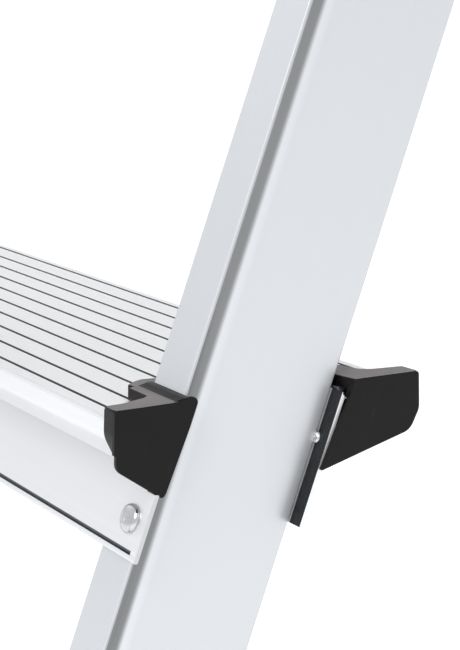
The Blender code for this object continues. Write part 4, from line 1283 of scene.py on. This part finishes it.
def castor_fork():
    """A pressed fork: two legs with ears for the pedal, a bridge, and a swivel head with its ball race."""
    lobe = []
    for step in range(15):
        angle = math.radians(195 + 190 * step / 14)
        lobe.append((TRAIL + 0.0148 * math.cos(angle), AXLE_Z + 0.0148 * math.sin(angle)))
    outline = [(-0.0255, 0.1418), (-0.0240, 0.1180)] + lobe
    outline += [(0.0400, 0.1180), (0.0405, 0.1290), (0.0480, 0.1345), (0.0500, 0.1400)]
    outline += [(0.0470, 0.1450), (0.0400, 0.1440), (0.0360, 0.1418)]
    radii = [0.004, 0.012] + [0.0] * len(lobe) + [0.010, 0.004, 0.003, 0.003, 0.003, 0.002, 0.002]
    pieces = []
    for label, near, far in (("right", FORK_INNER, FORK_OUTER), ("left", -FORK_OUTER, -FORK_INNER)):
        leg = prism(f"leg_{label}", rounded(outline, radii, 4), near, far, "X", "zinc")
        pieces.append(smooth(bevelled(leg, 0.0006, 2, 50), 35))
    bridge = ((-FORK_OUTER, -0.0258, 0.1360), (FORK_OUTER, 0.0358, 0.1420))
    pieces.append(smooth(block("bridge", *bridge, "zinc", edge=0.0016, segments=3), 35))
    head = [
        (0.0, 0.1550), (0.0240, 0.1550), (0.0272, 0.1544), (0.0279, 0.1530), (0.0279, 0.1505),
        (0.0262, 0.1494), (0.0252, 0.1480), (0.0262, 0.1466), (0.0279, 0.1458), (0.0279, 0.1436),
        (0.0268, 0.1421), (0.0, 0.1421),
    ]
    pieces.append(smooth(turned("swivel_head", head, "zinc", 56), 30))
    washer = [(0.0, 0.0012), (0.0090, 0.0012), (0.0095, 0.0008), (0.0095, 0.0), (0.0, 0.0)]
    nut = [(0.0, 0.0052), (0.0026, 0.0050), (0.0030, 0.0042), (0.0062, 0.0042), (0.0072, 0.0034)]
    nut += [(0.0072, 0.0), (0.0, 0.0)]
    stud = [(0.0, 0.0022), (0.0026, 0.0020), (0.0034, 0.0012), (0.0034, 0.0), (0.0, 0.0)]
    for label, side in (("right", 1), ("left", -1)):
        turn = Matrix.Rotation(math.radians(90 * side), 4, "Y")
        foot = Matrix.Translation((side * FORK_OUTER, TRAIL, AXLE_Z))
        pieces.append(move(smooth(turned(f"washer_{label}", washer, "zinc", 40), 35), foot @ turn))
        lift = Matrix.Translation((side * 0.0012, 0, 0))
        pieces.append(move(smooth(turned(f"nut_{label}", nut, "bolt", 6), 30), lift @ foot @ turn))
        hinge = Matrix.Translation((side * FORK_OUTER, PEDAL_PIVOT.y, PEDAL_PIVOT.z))
        pieces.append(move(smooth(turned(f"pedal_pin_{label}", stud, "bolt", 28), 35), hinge @ turn))
    axle = swept("axle", [(-FORK_INNER, TRAIL, AXLE_Z), (FORK_INNER, TRAIL, AXLE_Z)], 0.0048, "bolt", 28)
    return pieces + [axle]


def castor_wheel():
    """Tyre and hub about the X axis through the axle."""
    half = 0.0160
    tyre = [
        (0.0454, 0.0120), (0.0470, 0.0140), (0.0510, 0.0150), (0.0540, 0.0152), (0.0546, 0.0146),
        (0.0552, 0.0152), (0.0575, 0.0156), (0.0598, 0.0146), (0.0611, 0.0122), (0.0616, 0.0090),
        (0.0618, 0.0045), (0.0611, 0.0036), (0.0611, 0.0028), (0.0618, 0.0020),
    ]
    tyre += [(radius, -along) for radius, along in reversed(tyre)]
    one = [
        (0.0057, half + 0.0012), (0.0122, half + 0.0012), (0.0130, half + 0.0004), (0.0136, 0.0070),
        (0.0150, 0.0055), (0.0330, 0.0055), (0.0350, 0.0068), (0.0362, half - 0.0068),
        (0.0372, half - 0.0056), (0.0440, half - 0.0054), (0.0449, half - 0.0062),
    ]
    hub = one + [(radius, -along) for radius, along in reversed(one)]
    turn = Matrix.Rotation(math.radians(90), 4, "Y")
    pieces = [
        ("tyre", move(smooth(turned("tyre", tyre, "rubber", 72), 40), turn), "grey_rubber"),
        ("hub", move(smooth(turned("hub", hub, "black", 72), 35), turn), "black_plastic"),
    ]
    for label, side in (("right", 1), ("left", -1)):
        bm = bmesh.new()
        for spoke in range(8):
            ends = sorted((side * 0.0050, side * 0.0096))
            angle = math.radians(45 * spoke)
            spin = Matrix.Rotation(angle, 4, "X")
            corners = []
            for x in ends:
                for y, z in ((-0.0013, 0.0128), (0.0013, 0.0128), (0.0010, 0.0366), (-0.0010, 0.0366)):
                    corners.append(bm.verts.new(spin @ Vector((x, y, z))))
            for face in ((0, 1, 2, 3), (4, 5, 6, 7), (0, 1, 5, 4), (1, 2, 6, 5), (2, 3, 7, 6), (3, 0, 4, 7)):
                bm.faces.new([corners[index] for index in face])
        ribs = bevelled(mesh_object(f"ribs_{label}", bm, "black"), 0.0004, 2)
        pieces.append((f"ribs_{label}", smooth(ribs, 35), "black_plastic"))
    return pieces


def castor_pedal():
    """The foot lever about its own pivot, ribbed where the shoe presses."""
    top = [(-0.0058, 0.0030), (-0.0040, 0.0042), (0.0040, 0.0054), (0.0130, 0.0044)]
    for rib in range(5):
        at = 0.0170 + rib * 0.0050
        level = 0.0036 - rib * 0.0008
        bump = ((0, -0.0006), (0.0010, 0.0006), (0.0022, 0.0006), (0.0032, -0.0006))
        top += [(at + along, level + up) for along, up in bump]
    top += [(0.0430, 0.0022), (0.0490, 0.0058), (0.0505, 0.0055), (0.0518, 0.0034)]
    bottom = [(0.0500, 0.0010), (0.0370, -0.0038), (0.0200, -0.0042), (0.0040, -0.0044)]
    bottom += [(-0.0040, -0.0043), (-0.0058, -0.0030)]
    lever = prism("pedal", top + bottom, -0.0174, 0.0174, "X", "red")
    return smooth(bevelled(lever, 0.0005, 2, 40), 40)


def make_castors():
    fork = castor_fork()
    wheel = castor_wheel()
    pedal = castor_pedal()
    for end in ("front", "rear"):
        for side in ("right", "left"):
            label = f"{end}_{side}"
            low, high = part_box(f"castor_hub_{label}")
            axle = (low + high) / 2
            swivel = Matrix.Translation((axle.x, axle.y - TRAIL, 0))
            for index, piece in enumerate(fork):
                copy = copy_of(piece, f"{piece.name.split('.')[0]}_{label}", swivel)
                use(copy, f"castor_{label}", "zinc_steel", *([f"castor_fork_{label}"] if index == 0 else []))
            for name, piece, slot in wheel:
                copy = copy_of(piece, f"wheel_{name}_{label}", Matrix.Translation(axle))
                node = {"tyre": [f"castor_tyre_{label}"], "hub": [f"castor_hub_{label}"]}.get(name, [])
                use(copy, f"wheel_{label}", slot, *node)
            copy = copy_of(pedal, f"pedal_lever_{label}", swivel @ Matrix.Translation(PEDAL_PIVOT))
            use(copy, f"pedal_{label}", "red_plastic", f"brake_pedal_{label}")
    for piece in fork + [row[1] for row in wheel] + [pedal]:
        bpy.data.objects.remove(piece, do_unlink=True)


make_camera(tread_datum(3))
make_world()
make_floor()
target = tuple(tread_datum(3))
make_light("key", (2.2, -3.2, 4.2), target, (2.5, 2.5), 108)
make_light("fill", (-3.5, -1.5, 3.6), target, (3.0, 3.0), 7)
bpy.context.scene.view_settings.view_transform = "Standard"

make_stiles()
make_treads()
make_caps()
make_fasteners()
make_deck()
make_square_tubes()
make_beams()
make_braces()
make_feet()
make_rails()
make_posts()
make_safety_bar()
make_toe_board()
make_handrails()
make_castors()
